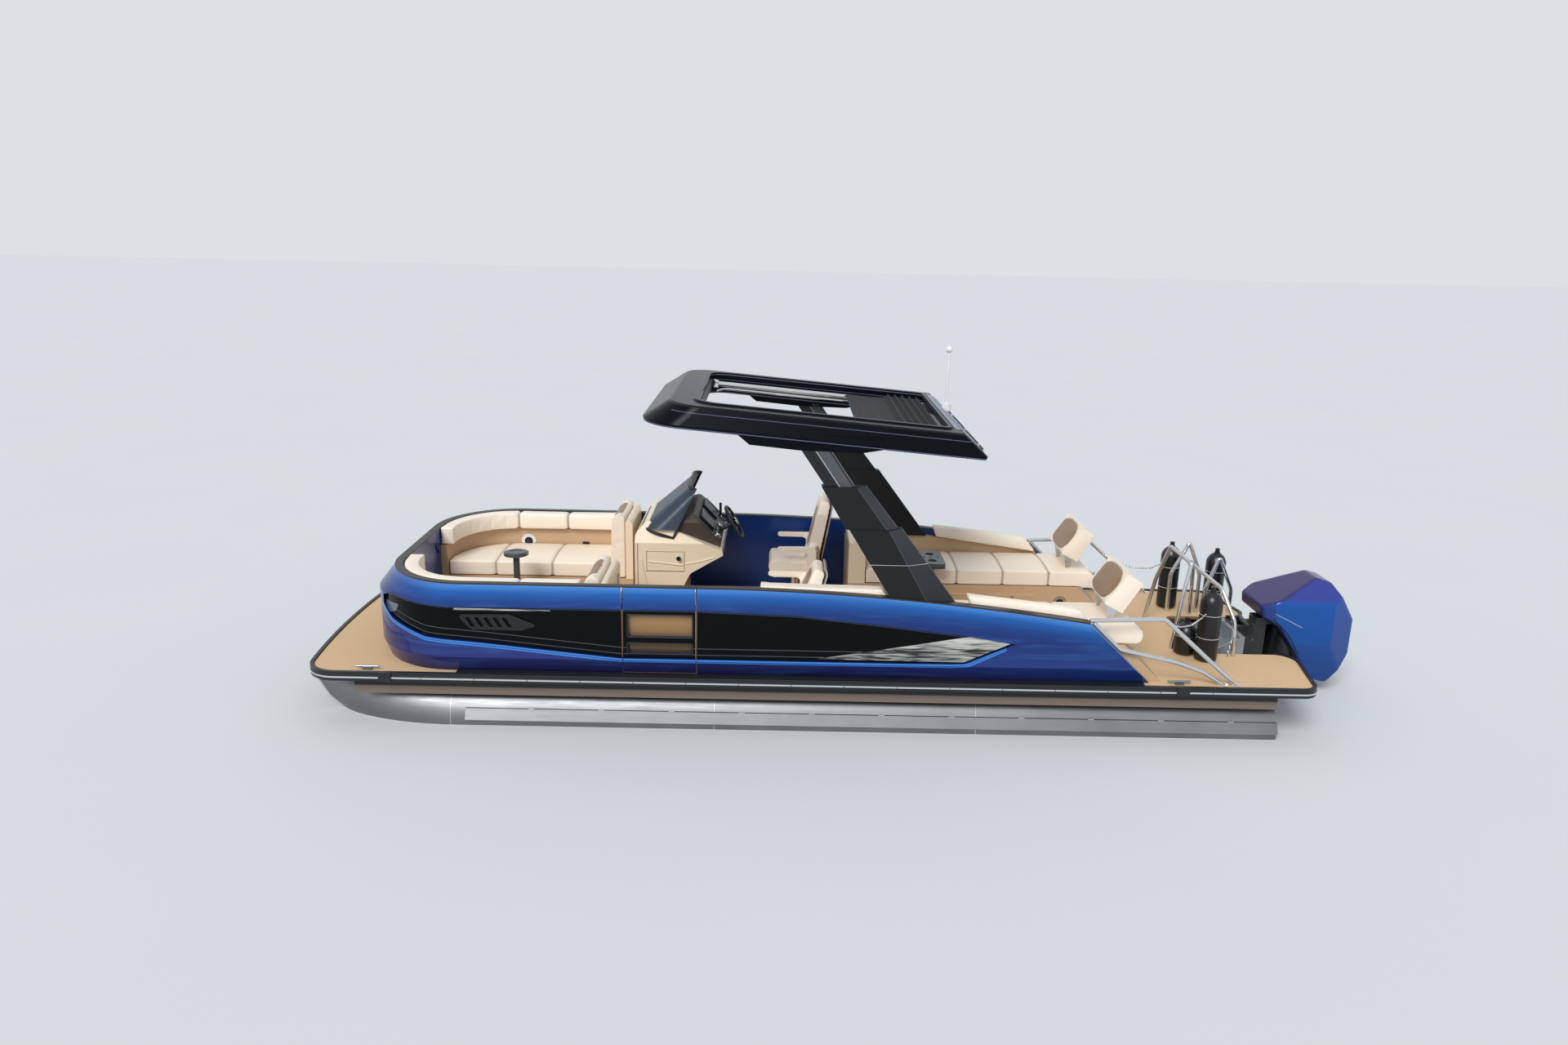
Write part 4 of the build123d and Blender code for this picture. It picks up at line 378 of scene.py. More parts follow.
# faceted polished plate on the fence: facets that face up are painted light and the others grey, a painted reflection,
# with a broken painted shimmer
facetPlate, tree, shader = newMaterial("faceted polished plate", "#B9BCC0", 0.14, 1.0)
coords = addNode(tree, "ShaderNodeTexCoord")
split = addNode(tree, "ShaderNodeSeparateXYZ", links={"Vector": coords.outputs["Normal"]})
leaned = addNode(tree, "ShaderNodeMapping", {"Rotation": (0, 0.35, 0), "Scale": (3, 1, 34)},
                 {"Vector": coords.outputs["Object"]})
shimmer = addNode(tree, "ShaderNodeTexNoise", {"Scale": 1.0, "Detail": 2, "Distortion": 1.2},
                  {"Vector": leaned.outputs["Vector"]})
shaken = addNode(tree, "ShaderNodeMath", {1: 0.9}, {0: shimmer.outputs["Fac"], 2: split.outputs["Z"]},
                 operation="MULTIPLY_ADD")
ramp = addNode(tree, "ShaderNodeValToRGB", links={"Fac": shaken.outputs[0]})
setStops(ramp, [(0.28, "#4B4C4C"), (0.62, "#EFEBE2")])
tree.links.new(ramp.outputs["Color"], shader.inputs["Base Color"])

# chromed trim plate
chrome = polishedMetal("chromed trim", "#E4E6E8", 0.06, 8, 2, 0.04, 0.1)


# moulded plastics: a fine moulded grain and slightly uneven tone
def mouldedPlastic(name, colour, other, roughness, grainScale, grainDepth, coat=0.0):
    material, tree, shader = newMaterial(name, colour, roughness, Coat_Weight=coat, Coat_Roughness=0.1)
    coords = addNode(tree, "ShaderNodeTexCoord")
    cloud = addNode(tree, "ShaderNodeTexNoise", {"Scale": 4, "Detail": 3}, {"Vector": coords.outputs["Object"]})
    tone = addNode(tree, "ShaderNodeMix", {6: linear(colour), 7: linear(other)}, {0: cloud.outputs["Fac"]},
                   data_type="RGBA")
    tree.links.new(tone.outputs[2], shader.inputs["Base Color"])
    grain = addNode(tree, "ShaderNodeTexVoronoi", {"Scale": grainScale}, {"Vector": coords.outputs["Object"]})
    bump = addNode(tree, "ShaderNodeBump", {"Strength": grainDepth, "Distance": 0.001},
                   {"Height": grain.outputs["Distance"]})
    tree.links.new(bump.outputs["Normal"], shader.inputs["Normal"])
    return material


railPlastic = mouldedPlastic("black rub rail vinyl", "#121314", "#1A1B1D", 0.38, 500, 0.1)
fasciaPlastic = mouldedPlastic("dark fascia", "#2A2623", "#35302B", 0.5, 400, 0.1)
tree = fasciaPlastic.node_tree
coords = addNode(tree, "ShaderNodeTexCoord")
place = addNode(tree, "ShaderNodeSeparateXYZ", links={"Vector": coords.outputs["Object"]})
level = addNode(tree, "ShaderNodeMapRange", {"From Min": 0.282, "From Max": 0.472}, {"Value": place.outputs["Z"]})
ramp = addNode(tree, "ShaderNodeValToRGB", links={"Fac": level.outputs["Result"]})
setStops(ramp, [(0.32, "#766960"), (0.4, "#161514")])
tree.links.new(ramp.outputs["Color"], tree.nodes["Principled BSDF"].inputs["Base Color"])
blackPlastic = mouldedPlastic("moulded black nylon", "#131416", "#1B1C1F", 0.42, 600, 0.15)
tanShell = mouldedPlastic("tan moulded seat base", "#C3A585", "#BC9D7C", 0.5, 350, 0.25)
beigeShell = mouldedPlastic("beige gelcoat", "#F0DEC3", "#E8D5B8", 0.28, 300, 0.05, 0.3)
brownTrim = mouldedPlastic("brown moulded dash", "#3A302A", "#453932", 0.5, 450, 0.3)
greyTrim = mouldedPlastic("satin grey trim", "#4A4D52", "#3E4146", 0.3, 500, 0.05)
ventBlack = mouldedPlastic("black vent moulding", "#08090A", "#0E0F11", 0.3, 500, 0.1)
whitePlastic = mouldedPlastic("white acetal", "#E9E9E6", "#E2E2DF", 0.35, 500, 0.05)
fenderVinyl = mouldedPlastic("black fender vinyl", "#0E0F11", "#17181A", 0.3, 300, 0.1)
motorBlack = mouldedPlastic("satin black motor paint", "#0F1012", "#17181B", 0.3, 500, 0.08, 0.3)

# woven vinyl deck covering: 3 mm yarns, drawn at 9 mm so that they show
deckVinyl, tree, shader = newMaterial("tan woven vinyl", "#C49A6C", 0.8)
coords = addNode(tree, "ShaderNodeTexCoord")
warp = addNode(tree, "ShaderNodeTexWave", {"Scale": 36, "Distortion": 0.4, "Detail": 1},
               {"Vector": coords.outputs["Object"]}, bands_direction="X")
weft = addNode(tree, "ShaderNodeTexWave", {"Scale": 36, "Distortion": 0.4, "Detail": 1},
               {"Vector": coords.outputs["Object"]}, bands_direction="Y")
weave = addNode(tree, "ShaderNodeMath", links={0: warp.outputs["Fac"], 1: weft.outputs["Fac"]}, operation="MULTIPLY")
speck = addNode(tree, "ShaderNodeTexNoise", {"Scale": 90, "Detail": 3, "Roughness": 0.7},
                {"Vector": coords.outputs["Object"]})
blendFac = addNode(tree, "ShaderNodeMath", links={0: weave.outputs["Value"], 1: speck.outputs["Fac"]}, operation="ADD")
ramp = addNode(tree, "ShaderNodeValToRGB", links={"Fac": blendFac.outputs["Value"]})
setStops(ramp, [(0.35, "#B5936B"), (0.95, "#E3C49C")])
tree.links.new(ramp.outputs["Color"], shader.inputs["Base Color"])
bump = addNode(tree, "ShaderNodeBump", {"Strength": 0.3, "Distance": 0.001}, {"Height": weave.outputs["Value"]})
tree.links.new(bump.outputs["Normal"], shader.inputs["Normal"])

# sealed plywood: brown, with long grain along the boat
deckWood, tree, shader = newMaterial("sealed plywood", "#8A6B46", 0.6)
coords = addNode(tree, "ShaderNodeTexCoord")
stretch = addNode(tree, "ShaderNodeMapping", {"Scale": (1, 12, 12)}, {"Vector": coords.outputs["Object"]})
grain = addNode(tree, "ShaderNodeTexNoise", {"Scale": 5, "Detail": 6}, {"Vector": stretch.outputs["Vector"]})
tone = addNode(tree, "ShaderNodeMix", {6: linear("#7A5C3A"), 7: linear("#9B7A52")}, {0: grain.outputs["Fac"]},
               data_type="RGBA")
tree.links.new(tone.outputs[2], shader.inputs["Base Color"])


# cast acrylic sheet: seen through by its alpha, with a faint uneven tint
def acrylic(name, colour, other, alpha, roughness):
    material, tree, shader = newMaterial(name, colour, roughness, IOR=1.49, Alpha=alpha)
    coords = addNode(tree, "ShaderNodeTexCoord")
    haze = addNode(tree, "ShaderNodeTexNoise", {"Scale": 3, "Detail": 2}, {"Vector": coords.outputs["Object"]})
    tint = addNode(tree, "ShaderNodeMix", {6: linear(colour), 7: linear(other)}, {0: haze.outputs["Fac"]},
                   data_type="RGBA")
    tree.links.new(tint.outputs[2], shader.inputs["Base Color"])
    return material


tintedAcrylic = acrylic("smoke tinted acrylic", "#20344A", "#2C4258", 0.64, 0.32)
amberAcrylic = acrylic("bronze acrylic", "#8E6C45", "#A37F55", 0.86, 0.08)
tree = amberAcrylic.node_tree
coords = addNode(tree, "ShaderNodeTexCoord")
place = addNode(tree, "ShaderNodeSeparateXYZ", links={"Vector": coords.outputs["Object"]})
level = addNode(tree, "ShaderNodeMapRange", {"From Min": 0.68, "From Max": 0.95}, {"Value": place.outputs["Z"]})
tint = addNode(tree, "ShaderNodeMix", {6: linear("#3E2E1E"), 7: linear("#A07C50")}, {0: level.outputs["Result"]},
               data_type="RGBA")
tree.links.new(tint.outputs[2], tree.nodes["Principled BSDF"].inputs["Base Color"])
clearLens = acrylic("smoked lamp lens", "#4A525C", "#7C8793", 0.75, 0.04)

nodePaint = {
    "port_pontoon": tubeAluminium, "starboard_pontoon": tubeAluminium, "centre_pontoon": tubeAluminium,
    "motor_pod": frameAluminium, "tube_risers": frameAluminium, "cross_members": frameAluminium,
    "side_fascia": fasciaPlastic, "deck_board": deckWood, "deck_covering": deckVinyl, "rub_rail": railPlastic,
    "fence_port_aft": fencePaint, "fence_port_forward": fencePaint, "fence_port_bow": fencePaint,
    "fence_starboard": fencePaint, "fence_starboard_bow": fencePaint, "bow_gate": fencePaint,
    "port_gate_panel": fencePaint, "side_bands": bandGloss, "port_gate_band": bandGloss,
    "side_inserts": facetPlate, "side_vents": ventBlack, "bow_lamps": clearLens, "port_gate_panes": amberAcrylic,
    "bow_lounge_bases": tanShell, "aft_lounge_bases": tanShell, "lounge_ends": beigeShell,
    "helm_console": beigeShell, "glovebox_lid": beigeShell, "dash_hood": brownTrim, "windshield": tintedAcrylic,
    "steering_wheel": blackPlastic, "throttle_lever": blackPlastic, "seat_pedestals": stainless, "tables": greyTrim,
    "arch_sleeves": charcoal, "arch_legs": legPaint, "hardtop_shell": roofGloss, "roof_rails": stainless,
    "nav_pole": whitePlastic, "stern_rails": stainless, "fender_racks": stainless, "fenders": fenderVinyl,
    "deck_cleats": castStainless, "engine_bracket": motorBlack, "engine_swivel": motorBlack,
    "tilt_cylinders": motorBlack, "tilt_rods": stainless, "engine_leg": motorBlack, "engine_cowl": cowlPaint,
    "propeller": stainless,
}
for name, material in nodePaint.items():
    paintNode(name, material)
print("materials on the CAD pieces")

# padded pieces: each starts from its CAD solid, or a chaise back from a slab, is remeshed, swollen as cloth, then sewn
# marine vinyl over foam: fine leather grain, soft sheen, darker along sewn seams; grain of 1.5 mm drawn at 4 mm
def vinylFor(name, colour, other, seamColour, insertColour):
    material, tree, shader = newMaterial(name, colour, 0.42, Sheen_Weight=0.15, Sheen_Roughness=0.4)
    coords = addNode(tree, "ShaderNodeTexCoord")
    cloud = addNode(tree, "ShaderNodeTexNoise", {"Scale": 3, "Detail": 4}, {"Vector": coords.outputs["Object"]})
    tone = addNode(tree, "ShaderNodeMix", {6: linear(colour), 7: linear(other)}, {0: cloud.outputs["Fac"]},
                   data_type="RGBA")
    insert = addNode(tree, "ShaderNodeAttribute", attribute_name="insert")
    panel = addNode(tree, "ShaderNodeMix", {7: linear(insertColour)}, {0: insert.outputs["Fac"], 6: tone.outputs[2]},
                    data_type="RGBA")
    seam = addNode(tree, "ShaderNodeAttribute", attribute_name="seam")
    line = addNode(tree, "ShaderNodeMapRange", {"From Min": 0.55, "From Max": 1.0, "To Max": 0.85},
                   {"Value": seam.outputs["Fac"]})
    sewn = addNode(tree, "ShaderNodeMix", {7: linear(seamColour)}, {0: line.outputs["Result"], 6: panel.outputs[2]},
                   data_type="RGBA")
    tree.links.new(sewn.outputs[2], shader.inputs["Base Color"])
    grain = addNode(tree, "ShaderNodeTexVoronoi", {"Scale": 250}, {"Vector": coords.outputs["Object"]})
    crease = addNode(tree, "ShaderNodeTexNoise", {"Scale": 14, "Detail": 3}, {"Vector": coords.outputs["Object"]})
    relief = addNode(tree, "ShaderNodeMath", {1: 3.0}, {0: crease.outputs["Fac"]}, operation="MULTIPLY")
    height = addNode(tree, "ShaderNodeMath", links={0: grain.outputs["Distance"], 1: relief.outputs["Value"]},
                     operation="ADD")
    bump = addNode(tree, "ShaderNodeBump", {"Strength": 0.25, "Distance": 0.0015}, {"Height": height.outputs["Value"]})
    tree.links.new(bump.outputs["Normal"], shader.inputs["Normal"])
    return material


creamVinyl = vinylFor("cream marine vinyl", "#F8EBDA", "#F0E0CC", "#8C7B66", "#8D6E52")
creamPlain = vinylFor("cream vinyl bolster", "#F8ECDD", "#F0E2CF", "#6B5A48", "#8D6E52")


def takeIsland(mesh, order):
    shell = bmesh.new()
    shell.from_mesh(mesh)
    bmesh.ops.remove_doubles(shell, verts=shell.verts, dist=0.00002)
    waiting = set(shell.verts)
    islands = []
    while waiting:
        reached = [waiting.pop()]
        for vert in reached:
            for edge in vert.link_edges:
                other = edge.other_vert(vert)
                if other in waiting:
                    waiting.discard(other)
                    reached.append(other)
        islands.append(reached)
    middle = lambda island: sum((vert.co for vert in island), Vector()) / len(island)
    islands.sort(key=lambda island: (middle(island).y < 0, -middle(island).x))
    kept = set(islands[order])
    bmesh.ops.delete(shell, geom=[vert for vert in shell.verts if vert not in kept], context="VERTS")
    shell.to_mesh(mesh)
    shell.free()


def applyAll(piece):
    bpy.ops.object.select_all(action="DESELECT")
    piece.select_set(True)
    bpy.context.view_layer.objects.active = piece
    for modifier in list(piece.modifiers):
        bpy.ops.object.modifier_apply(modifier=modifier.name)


# even small faces all over, smoothed, then pushed in or out
def soften(piece, voxel, rounds, swell):
    remesh = piece.modifiers.new("remesh", "REMESH")
    remesh.mode = "VOXEL"
    remesh.voxel_size = voxel
    smooth = piece.modifiers.new("smooth", "SMOOTH")
    smooth.factor = 0.5
    smooth.iterations = rounds
    push = piece.modifiers.new("push", "DISPLACE")
    push.mid_level = 0
    push.strength = swell
    applyAll(piece)


# slab of a chaise back: a cube whose corners are drawn to the slab's outline, before it is padded
chaiseSet = {"innerY": 0.45, "outerY": 1.05, "plateTop": (-2.485, 0, 1.082), "plateUp": (-0.4679, 0, 0.8838),
             "corners": {(-1, -1): (-2.57, 1.04), (1, -1): (-2.4, 1.13), (-1, 1): (-2.735, 1.315),
                         (1, 1): (-2.59, 1.41)}}


def startSlab(name, side):
    bpy.ops.object.select_all(action="DESELECT")
    bpy.ops.mesh.primitive_cube_add(size=2, location=(0, 0, 0))
    piece = bpy.context.object
    piece.name = name
    for vert in piece.data.vertices:
        x, z = chaiseSet["corners"][(round(vert.co.x), round(vert.co.z))]
        reach = chaiseSet["outerY"] if vert.co.y * side > 0 else chaiseSet["innerY"]
        vert.co = (x, side * reach, z)
    return piece


def startPad(name, node, order, voxel, shrink, rounds):
    if node.startswith("chaise_back"):
        piece = startSlab(name, 1 if node.endswith("port") else -1)
    else:
        piece = bpy.data.objects.new(name, nodes[node].data.copy())
        bpy.context.scene.collection.objects.link(piece)
        piece.data.materials.clear()
        takeIsland(piece.data, order)
    soften(piece, voxel, rounds, -shrink)
    return piece


# name, node, island, voxel, crown, body, seams across x
padTable = [
    ("bowCushionPort", "bow_seat_cushions", 0, 0.013, 0.022, "boat", (2.55, 3.1)),
    ("bowCushionStarboard", "bow_seat_cushions", 1, 0.013, 0.022, "boat", (2.55, 3.1)),
    ("bowBackrestPort", "bow_backrests", 0, 0.010, 0.014, "boat", ()),
    ("bowBackrestStarboard", "bow_backrests", 1, 0.010, 0.014, "boat", ()),
    ("bowBolsterPort", "bow_bolsters", 0, 0.011, 0.012, "boat", (2.5,)),
    ("bowBolsterStarboard", "bow_bolsters", 1, 0.011, 0.012, "boat", (2.5, 3.0)),
    ("aftCushionPort", "aft_seat_cushions", 0, 0.012, 0.022, "boat", (-1.62, -2.1)),
    ("aftCushionStarboard", "aft_seat_cushions", 1, 0.012, 0.022, "boat", (-0.95, -1.4, -1.85, -2.3)),
    ("aftBolsterPortAhead", "aft_bolsters", 0, 0.011, 0.012, "boat", ()),
    ("aftBolsterPortBehind", "aft_bolsters", 1, 0.011, 0.012, "boat", ()),
    ("aftBolsterStarboardAhead", "aft_bolsters", 2, 0.011, 0.012, "boat", ()),
    ("aftBolsterStarboardBehind", "aft_bolsters", 3, 0.011, 0.012, "boat", ()),
    ("helmSeatPad", "helm_chair", 0, 0.010, 0.012, "helm_seat", ()),
    ("companionSeatPad", "companion_chair", 0, 0.010, 0.012, "companion_seat", ()),
    ("chaiseBackPort", "chaise_back_port", 0, 0.010, 0.016, "chaise_port", ()),
    ("chaiseBackStarboard", "chaise_back_starboard", 0, 0.010, 0.016, "chaise_starboard", ()),
]
# pad, way the panel faces, its middle, half width across the boat, half length up the face
insertTable = [
    ("bowBackrestPort", (0.6, 0, 0.8), (1.94, 0.78, 1.30), 0.21, 0.085),
    ("bowBackrestStarboard", (0.6, 0, 0.8), (1.94, -0.78, 1.425), 0.21, 0.085),
    ("chaiseBackPort", (0.83, 0, 0.56), (-2.495, 0.75, 1.27), 0.25, 0.15),
    ("chaiseBackStarboard", (0.83, 0, 0.56), (-2.495, -0.75, 1.27), 0.25, 0.15),
    ("helmSeatPad", (0.976, 0, 0.217), (0.025, -0.6, 1.34), 0.13, 0.2),
    ("companionSeatPad", (0.925, 0, 0.38), (0.105, 0.58, 1.15), 0.13, 0.11),
]
padSet = {"shrink": 0.007, "smoothRounds": 5, "pressure": 4.0, "frames": 20, "seamWidth": 0.02, "seamDepth": 0.014}

pads = {}
for name, node, order, voxel, crown, body, seams in padTable:
    pads[name] = startPad(name, node, order, voxel, padSet["shrink"], padSet["smoothRounds"])
print("pads started:", sum(len(piece.data.vertices) for piece in pads.values()), "vertices")

startShapes = {}
for name, piece in pads.items():
    startShapes[name] = [vert.co.copy() for vert in piece.data.vertices]
    cloth = piece.modifiers.new("cloth", "CLOTH")
    cloth.settings.quality = 4
    cloth.settings.mass = 0.4
    cloth.settings.tension_stiffness = 12
    cloth.settings.compression_stiffness = 12
    cloth.settings.bending_stiffness = 1.5
    cloth.settings.use_pressure = True
    cloth.settings.uniform_pressure_force = padSet["pressure"]
    cloth.settings.effector_weights.gravity = 0
    cloth.collision_settings.use_collision = False
    cloth.point_cache.frame_end = padSet["frames"]
for step in range(1, padSet["frames"] + 1):
    bpy.context.scene.frame_set(step)
for name, node, order, voxel, crown, body, seams in padTable:
    piece = pads[name]
    applyAll(piece)
    start = startShapes[name]
    swell = [vert.co - place for vert, place in zip(piece.data.vertices, start)]
    longest = sorted(move.length for move in swell)[int(0.98 * len(swell))]
    share = min(1.0, crown / max(longest, 0.0001))
    for vert, place, move in zip(piece.data.vertices, start, swell):
        vert.co = place + move * share
    print("padded", name, round(longest, 4))
bpy.context.scene.frame_set(1)

for name, node, order, voxel, crown, body, seams in padTable:
    piece = pads[name]
    low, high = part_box(node)
    seam = piece.data.attributes.new("seam", "FLOAT", "POINT")
    insert = piece.data.attributes.new("insert", "FLOAT", "POINT")
    normals = [vert.normal.copy() for vert in piece.data.vertices]
    for vert, normal in zip(piece.data.vertices, normals):
        weight = max([math.exp(-((vert.co.x - at) / padSet["seamWidth"]) ** 2) for at in seams] or [0])
        vert.co -= normal * weight * padSet["seamDepth"]
        vert.co.z = max(vert.co.z, low.z)
        seam.data[vert.index].value = weight
    for padName, facing, middle, halfWidth, halfLength in insertTable:
        if padName == name:
            upward = Vector((0, 1, 0)).cross(Vector(facing))
            for vert, normal in zip(piece.data.vertices, normals):
                away = vert.co - Vector(middle)
                reach = (abs(away.y) / halfWidth) ** 3 + (abs(away.dot(upward)) / halfLength) ** 3
                if normal.dot(Vector(facing)) > 0.5:
                    insert.data[vert.index].value = min(1.0, max(0.0, (1.12 - reach) * 5))
                    if 0.85 < reach < 1.25:
                        vert.co -= normal * 0.004
    for polygon in piece.data.polygons:
        polygon.use_smooth = True
    piece.data.materials.append(creamPlain if "Bolster" in name else creamVinyl)
    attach(piece, body)

for name, node, *rest in padTable:
    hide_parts(node)
print("pads sewn")


def clearSelection():
    if bpy.context.mode != "OBJECT":
        bpy.ops.object.mode_set(mode="OBJECT")
    bpy.ops.object.select_all(action="DESELECT")


# copy of a CAD node's skin, opened in edit mode with its loose triangles merged
def copySkin(name, node):
    clearSelection()
    piece = bpy.data.objects.new(name, nodes[node].data.copy())
    bpy.context.scene.collection.objects.link(piece)
    piece.data.materials.clear()
    piece.select_set(True)
    bpy.context.view_layer.objects.active = piece
    bpy.ops.object.mode_set(mode="EDIT")
    bpy.ops.mesh.select_mode(type="FACE")
    bpy.ops.mesh.select_all(action="SELECT")
    bpy.ops.mesh.remove_doubles(threshold=0.00005)
    return piece


def cutAway(placeOnPlane, normal, fill=False):
    bpy.ops.mesh.select_all(action="SELECT")
    bpy.ops.mesh.bisect(plane_co=placeOnPlane, plane_no=normal, use_fill=fill, clear_outer=True)


def keepFaces(piece, test):
    bpy.ops.object.mode_set(mode="OBJECT")
    for polygon in piece.data.polygons:
        polygon.select = not test(polygon.center, polygon.normal)
    bpy.ops.object.mode_set(mode="EDIT")
    bpy.ops.mesh.select_mode(type="FACE")
    bpy.ops.mesh.delete(type="FACE")
    bpy.ops.object.mode_set(mode="OBJECT")


def thicken(piece, depth):
    wall = piece.modifiers.new("wall", "SOLIDIFY")
    wall.thickness = depth
    wall.offset = 1
    applyAll(piece)


def finishPiece(piece, material, body, angle=35):
    clearSelection()
    piece.select_set(True)
    bpy.context.view_layer.objects.active = piece
    bpy.ops.object.transform_apply(location=True, rotation=True, scale=True)
    bpy.ops.object.shade_smooth_by_angle(angle=math.radians(angle))
    piece.data.materials.clear()
    piece.data.materials.append(material)
    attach(piece, body)


# chaise hinge plates: what is left of each back below the slab's foot
for node, body in (("chaise_back_port", "chaise_port"), ("chaise_back_starboard", "chaise_starboard")):
    plates = copySkin("hingePlates_" + body, node)
    cutAway(chaiseSet["plateTop"], chaiseSet["plateUp"], fill=True)
    bpy.ops.object.mode_set(mode="OBJECT")
    finishPiece(plates, stainless, body)
    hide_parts(node)

# folding canvas shade: one cloth, laid flat at its forward end and gathered in pleats aft
shadeSet = {"forwardX": -0.262, "foldX": -0.64, "aftX": -0.988, "flatShare": 0.25, "pleats": 5, "width": 1.726,
            "height": 0.118, "pleatHeight": 0.04,
            "steps": 90, "thickness": 0.004, "tilt": 4.8, "lip": 2.49}


def roofPoint(x, y, height):
    tilt = math.radians(shadeSet["tilt"])
    return Vector((x * math.cos(tilt) - height * math.sin(tilt), y,
                   shadeSet["lip"] + x * math.sin(tilt) + height * math.cos(tilt)))


clearSelection()
bpy.ops.mesh.primitive_grid_add(x_subdivisions=shadeSet["steps"], y_subdivisions=24, size=1)
shade = bpy.context.object
shade.name = "canvasShade"
profile = []
flatShare = shadeSet["flatShare"]
for step in range(shadeSet["steps"] + 1):
    share = step / shadeSet["steps"]
    if share < flatShare:
        x = shadeSet["forwardX"] + (shadeSet["foldX"] - shadeSet["forwardX"]) * share / flatShare
        profile.append((x, shadeSet["height"] + 0.012 - 0.006 * math.sin(math.pi * share / flatShare)))
    else:
        turn = (share - flatShare) / (1 - flatShare)
        x = shadeSet["foldX"] + (shadeSet["aftX"] - shadeSet["foldX"]) * turn
        lean = 0.012 * math.sin(4 * math.pi * shadeSet["pleats"] * turn)
        rise = 0.5 - 0.5 * math.cos(2 * math.pi * shadeSet["pleats"] * turn)
        profile.append((x + lean, shadeSet["height"] + 0.006 + shadeSet["pleatHeight"] * rise))
for vert in shade.data.vertices:
    step = round((vert.co.x + 0.5) * shadeSet["steps"])
    x, height = profile[step]
    sag = 0.006 * math.cos(math.pi * vert.co.y) * (0.6 + 0.4 * math.sin(step * 0.9))
    vert.co = roofPoint(x, vert.co.y * shadeSet["width"], height - sag)
# woven acrylic canvas: near black and dull, its 1 mm yarns drawn at 5 mm so that they show
canvas, tree, shader = newMaterial("woven acrylic canvas", "#15171B", 0.85, Specular_IOR_Level=0.2, Sheen_Weight=0.08,
                                   Sheen_Roughness=0.5)
coords = addNode(tree, "ShaderNodeTexCoord")
warp = addNode(tree, "ShaderNodeTexWave", {"Scale": 60, "Distortion": 0.5}, {"Vector": coords.outputs["Object"]},
               bands_direction="X")
weft = addNode(tree, "ShaderNodeTexWave", {"Scale": 60, "Distortion": 0.5}, {"Vector": coords.outputs["Object"]},
               bands_direction="Y")
weave = addNode(tree, "ShaderNodeMath", links={0: warp.outputs["Fac"], 1: weft.outputs["Fac"]}, operation="MULTIPLY")
tone = addNode(tree, "ShaderNodeMix", {6: linear("#101216"), 7: linear("#23262C")}, {0: weave.outputs[0]},
               data_type="RGBA")
tree.links.new(tone.outputs[2], shader.inputs["Base Color"])
bump = addNode(tree, "ShaderNodeBump", {"Strength": 0.25, "Distance": 0.001}, {"Height": weave.outputs[0]})
tree.links.new(bump.outputs["Normal"], shader.inputs["Normal"])
thicken(shade, shadeSet["thickness"])
finishPiece(shade, canvas, "hardtop", 60)
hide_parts("sunshade")

# dark trim on top of the fence, under the bolsters: the fence's own top faces, raised
capSet = {"height": 0.012, "lowest": 1.0}
darkTrim = mouldedPlastic("dark brown trim moulding", "#241D1A", "#2E2622", 0.4, 450, 0.1)
capTable = [
    ("fence_port_aft", "boat"), ("fence_port_forward", "boat"), ("fence_port_bow", "boat"), ("fence_starboard", "boat"),
    ("fence_starboard_bow", "boat"), ("port_gate_panel", "port_gate"), ("bow_gate", "bow_gate"),
]
for node, body in capTable:
    cap = copySkin("cap_" + node, node)
    keepFaces(cap, lambda centre, normal: normal.z > 0.9 and centre.z > capSet["lowest"])
    thicken(cap, capSet["height"])
    finishPiece(cap, darkTrim, body)

# bright strip let into the rub rail, and the rail's joint blocks
stripSet = {"low": 0.456, "high": 0.47, "depth": 0.005, "jointX": (3.6, -3.05), "jointHalf": 0.055}


def facesOut(centre, normal):
    spine = Vector((max(-3.8, min(3.8, centre.x)), 0, 0))
    away = Vector((centre.x, centre.y, 0)) - spine
    return abs(normal.z) < 0.3 and normal.dot(away) > 0.02


strip = copySkin("rubRailStrip", "rub_rail")
cutAway((0, 0, stripSet["high"]), (0, 0, 1))
cutAway((0, 0, stripSet["low"]), (0, 0, -1))
keepFaces(strip, facesOut)
thicken(strip, stripSet["depth"])
finishPiece(strip, chrome, "boat")
for x in stripSet["jointX"]:
    joint = copySkin("rubRailJoint" + ("Bow" if x > 0 else "Stern"), "rub_rail")
    cutAway((x + stripSet["jointHalf"], 0, 0), (1, 0, 0))
    cutAway((x - stripSet["jointHalf"], 0, 0), (-1, 0, 0))
    keepFaces(joint, facesOut)
    thicken(joint, 2 * stripSet["depth"])
    finishPiece(joint, railPlastic, "boat")
print("trims on fence and rub rail made")

# spots of a path with each corner turned into a short curve
def bent(spots, reach, closed=False):
    drawn = []
    spots = [Vector(spot) for spot in spots]
    for index, spot in enumerate(spots):
        if not closed and index in (0, len(spots) - 1):
            drawn.append(spot)
            continue
        before, after = spots[index - 1], spots[(index + 1) % len(spots)]
        start = spot + (before - spot).normalized() * min(reach, (before - spot).length * 0.45)
        end = spot + (after - spot).normalized() * min(reach, (after - spot).length * 0.45)
        for step in range(6):
            share = step / 5
            drawn.append(start.lerp(spot, share).lerp(spot.lerp(end, share), share))
    return drawn


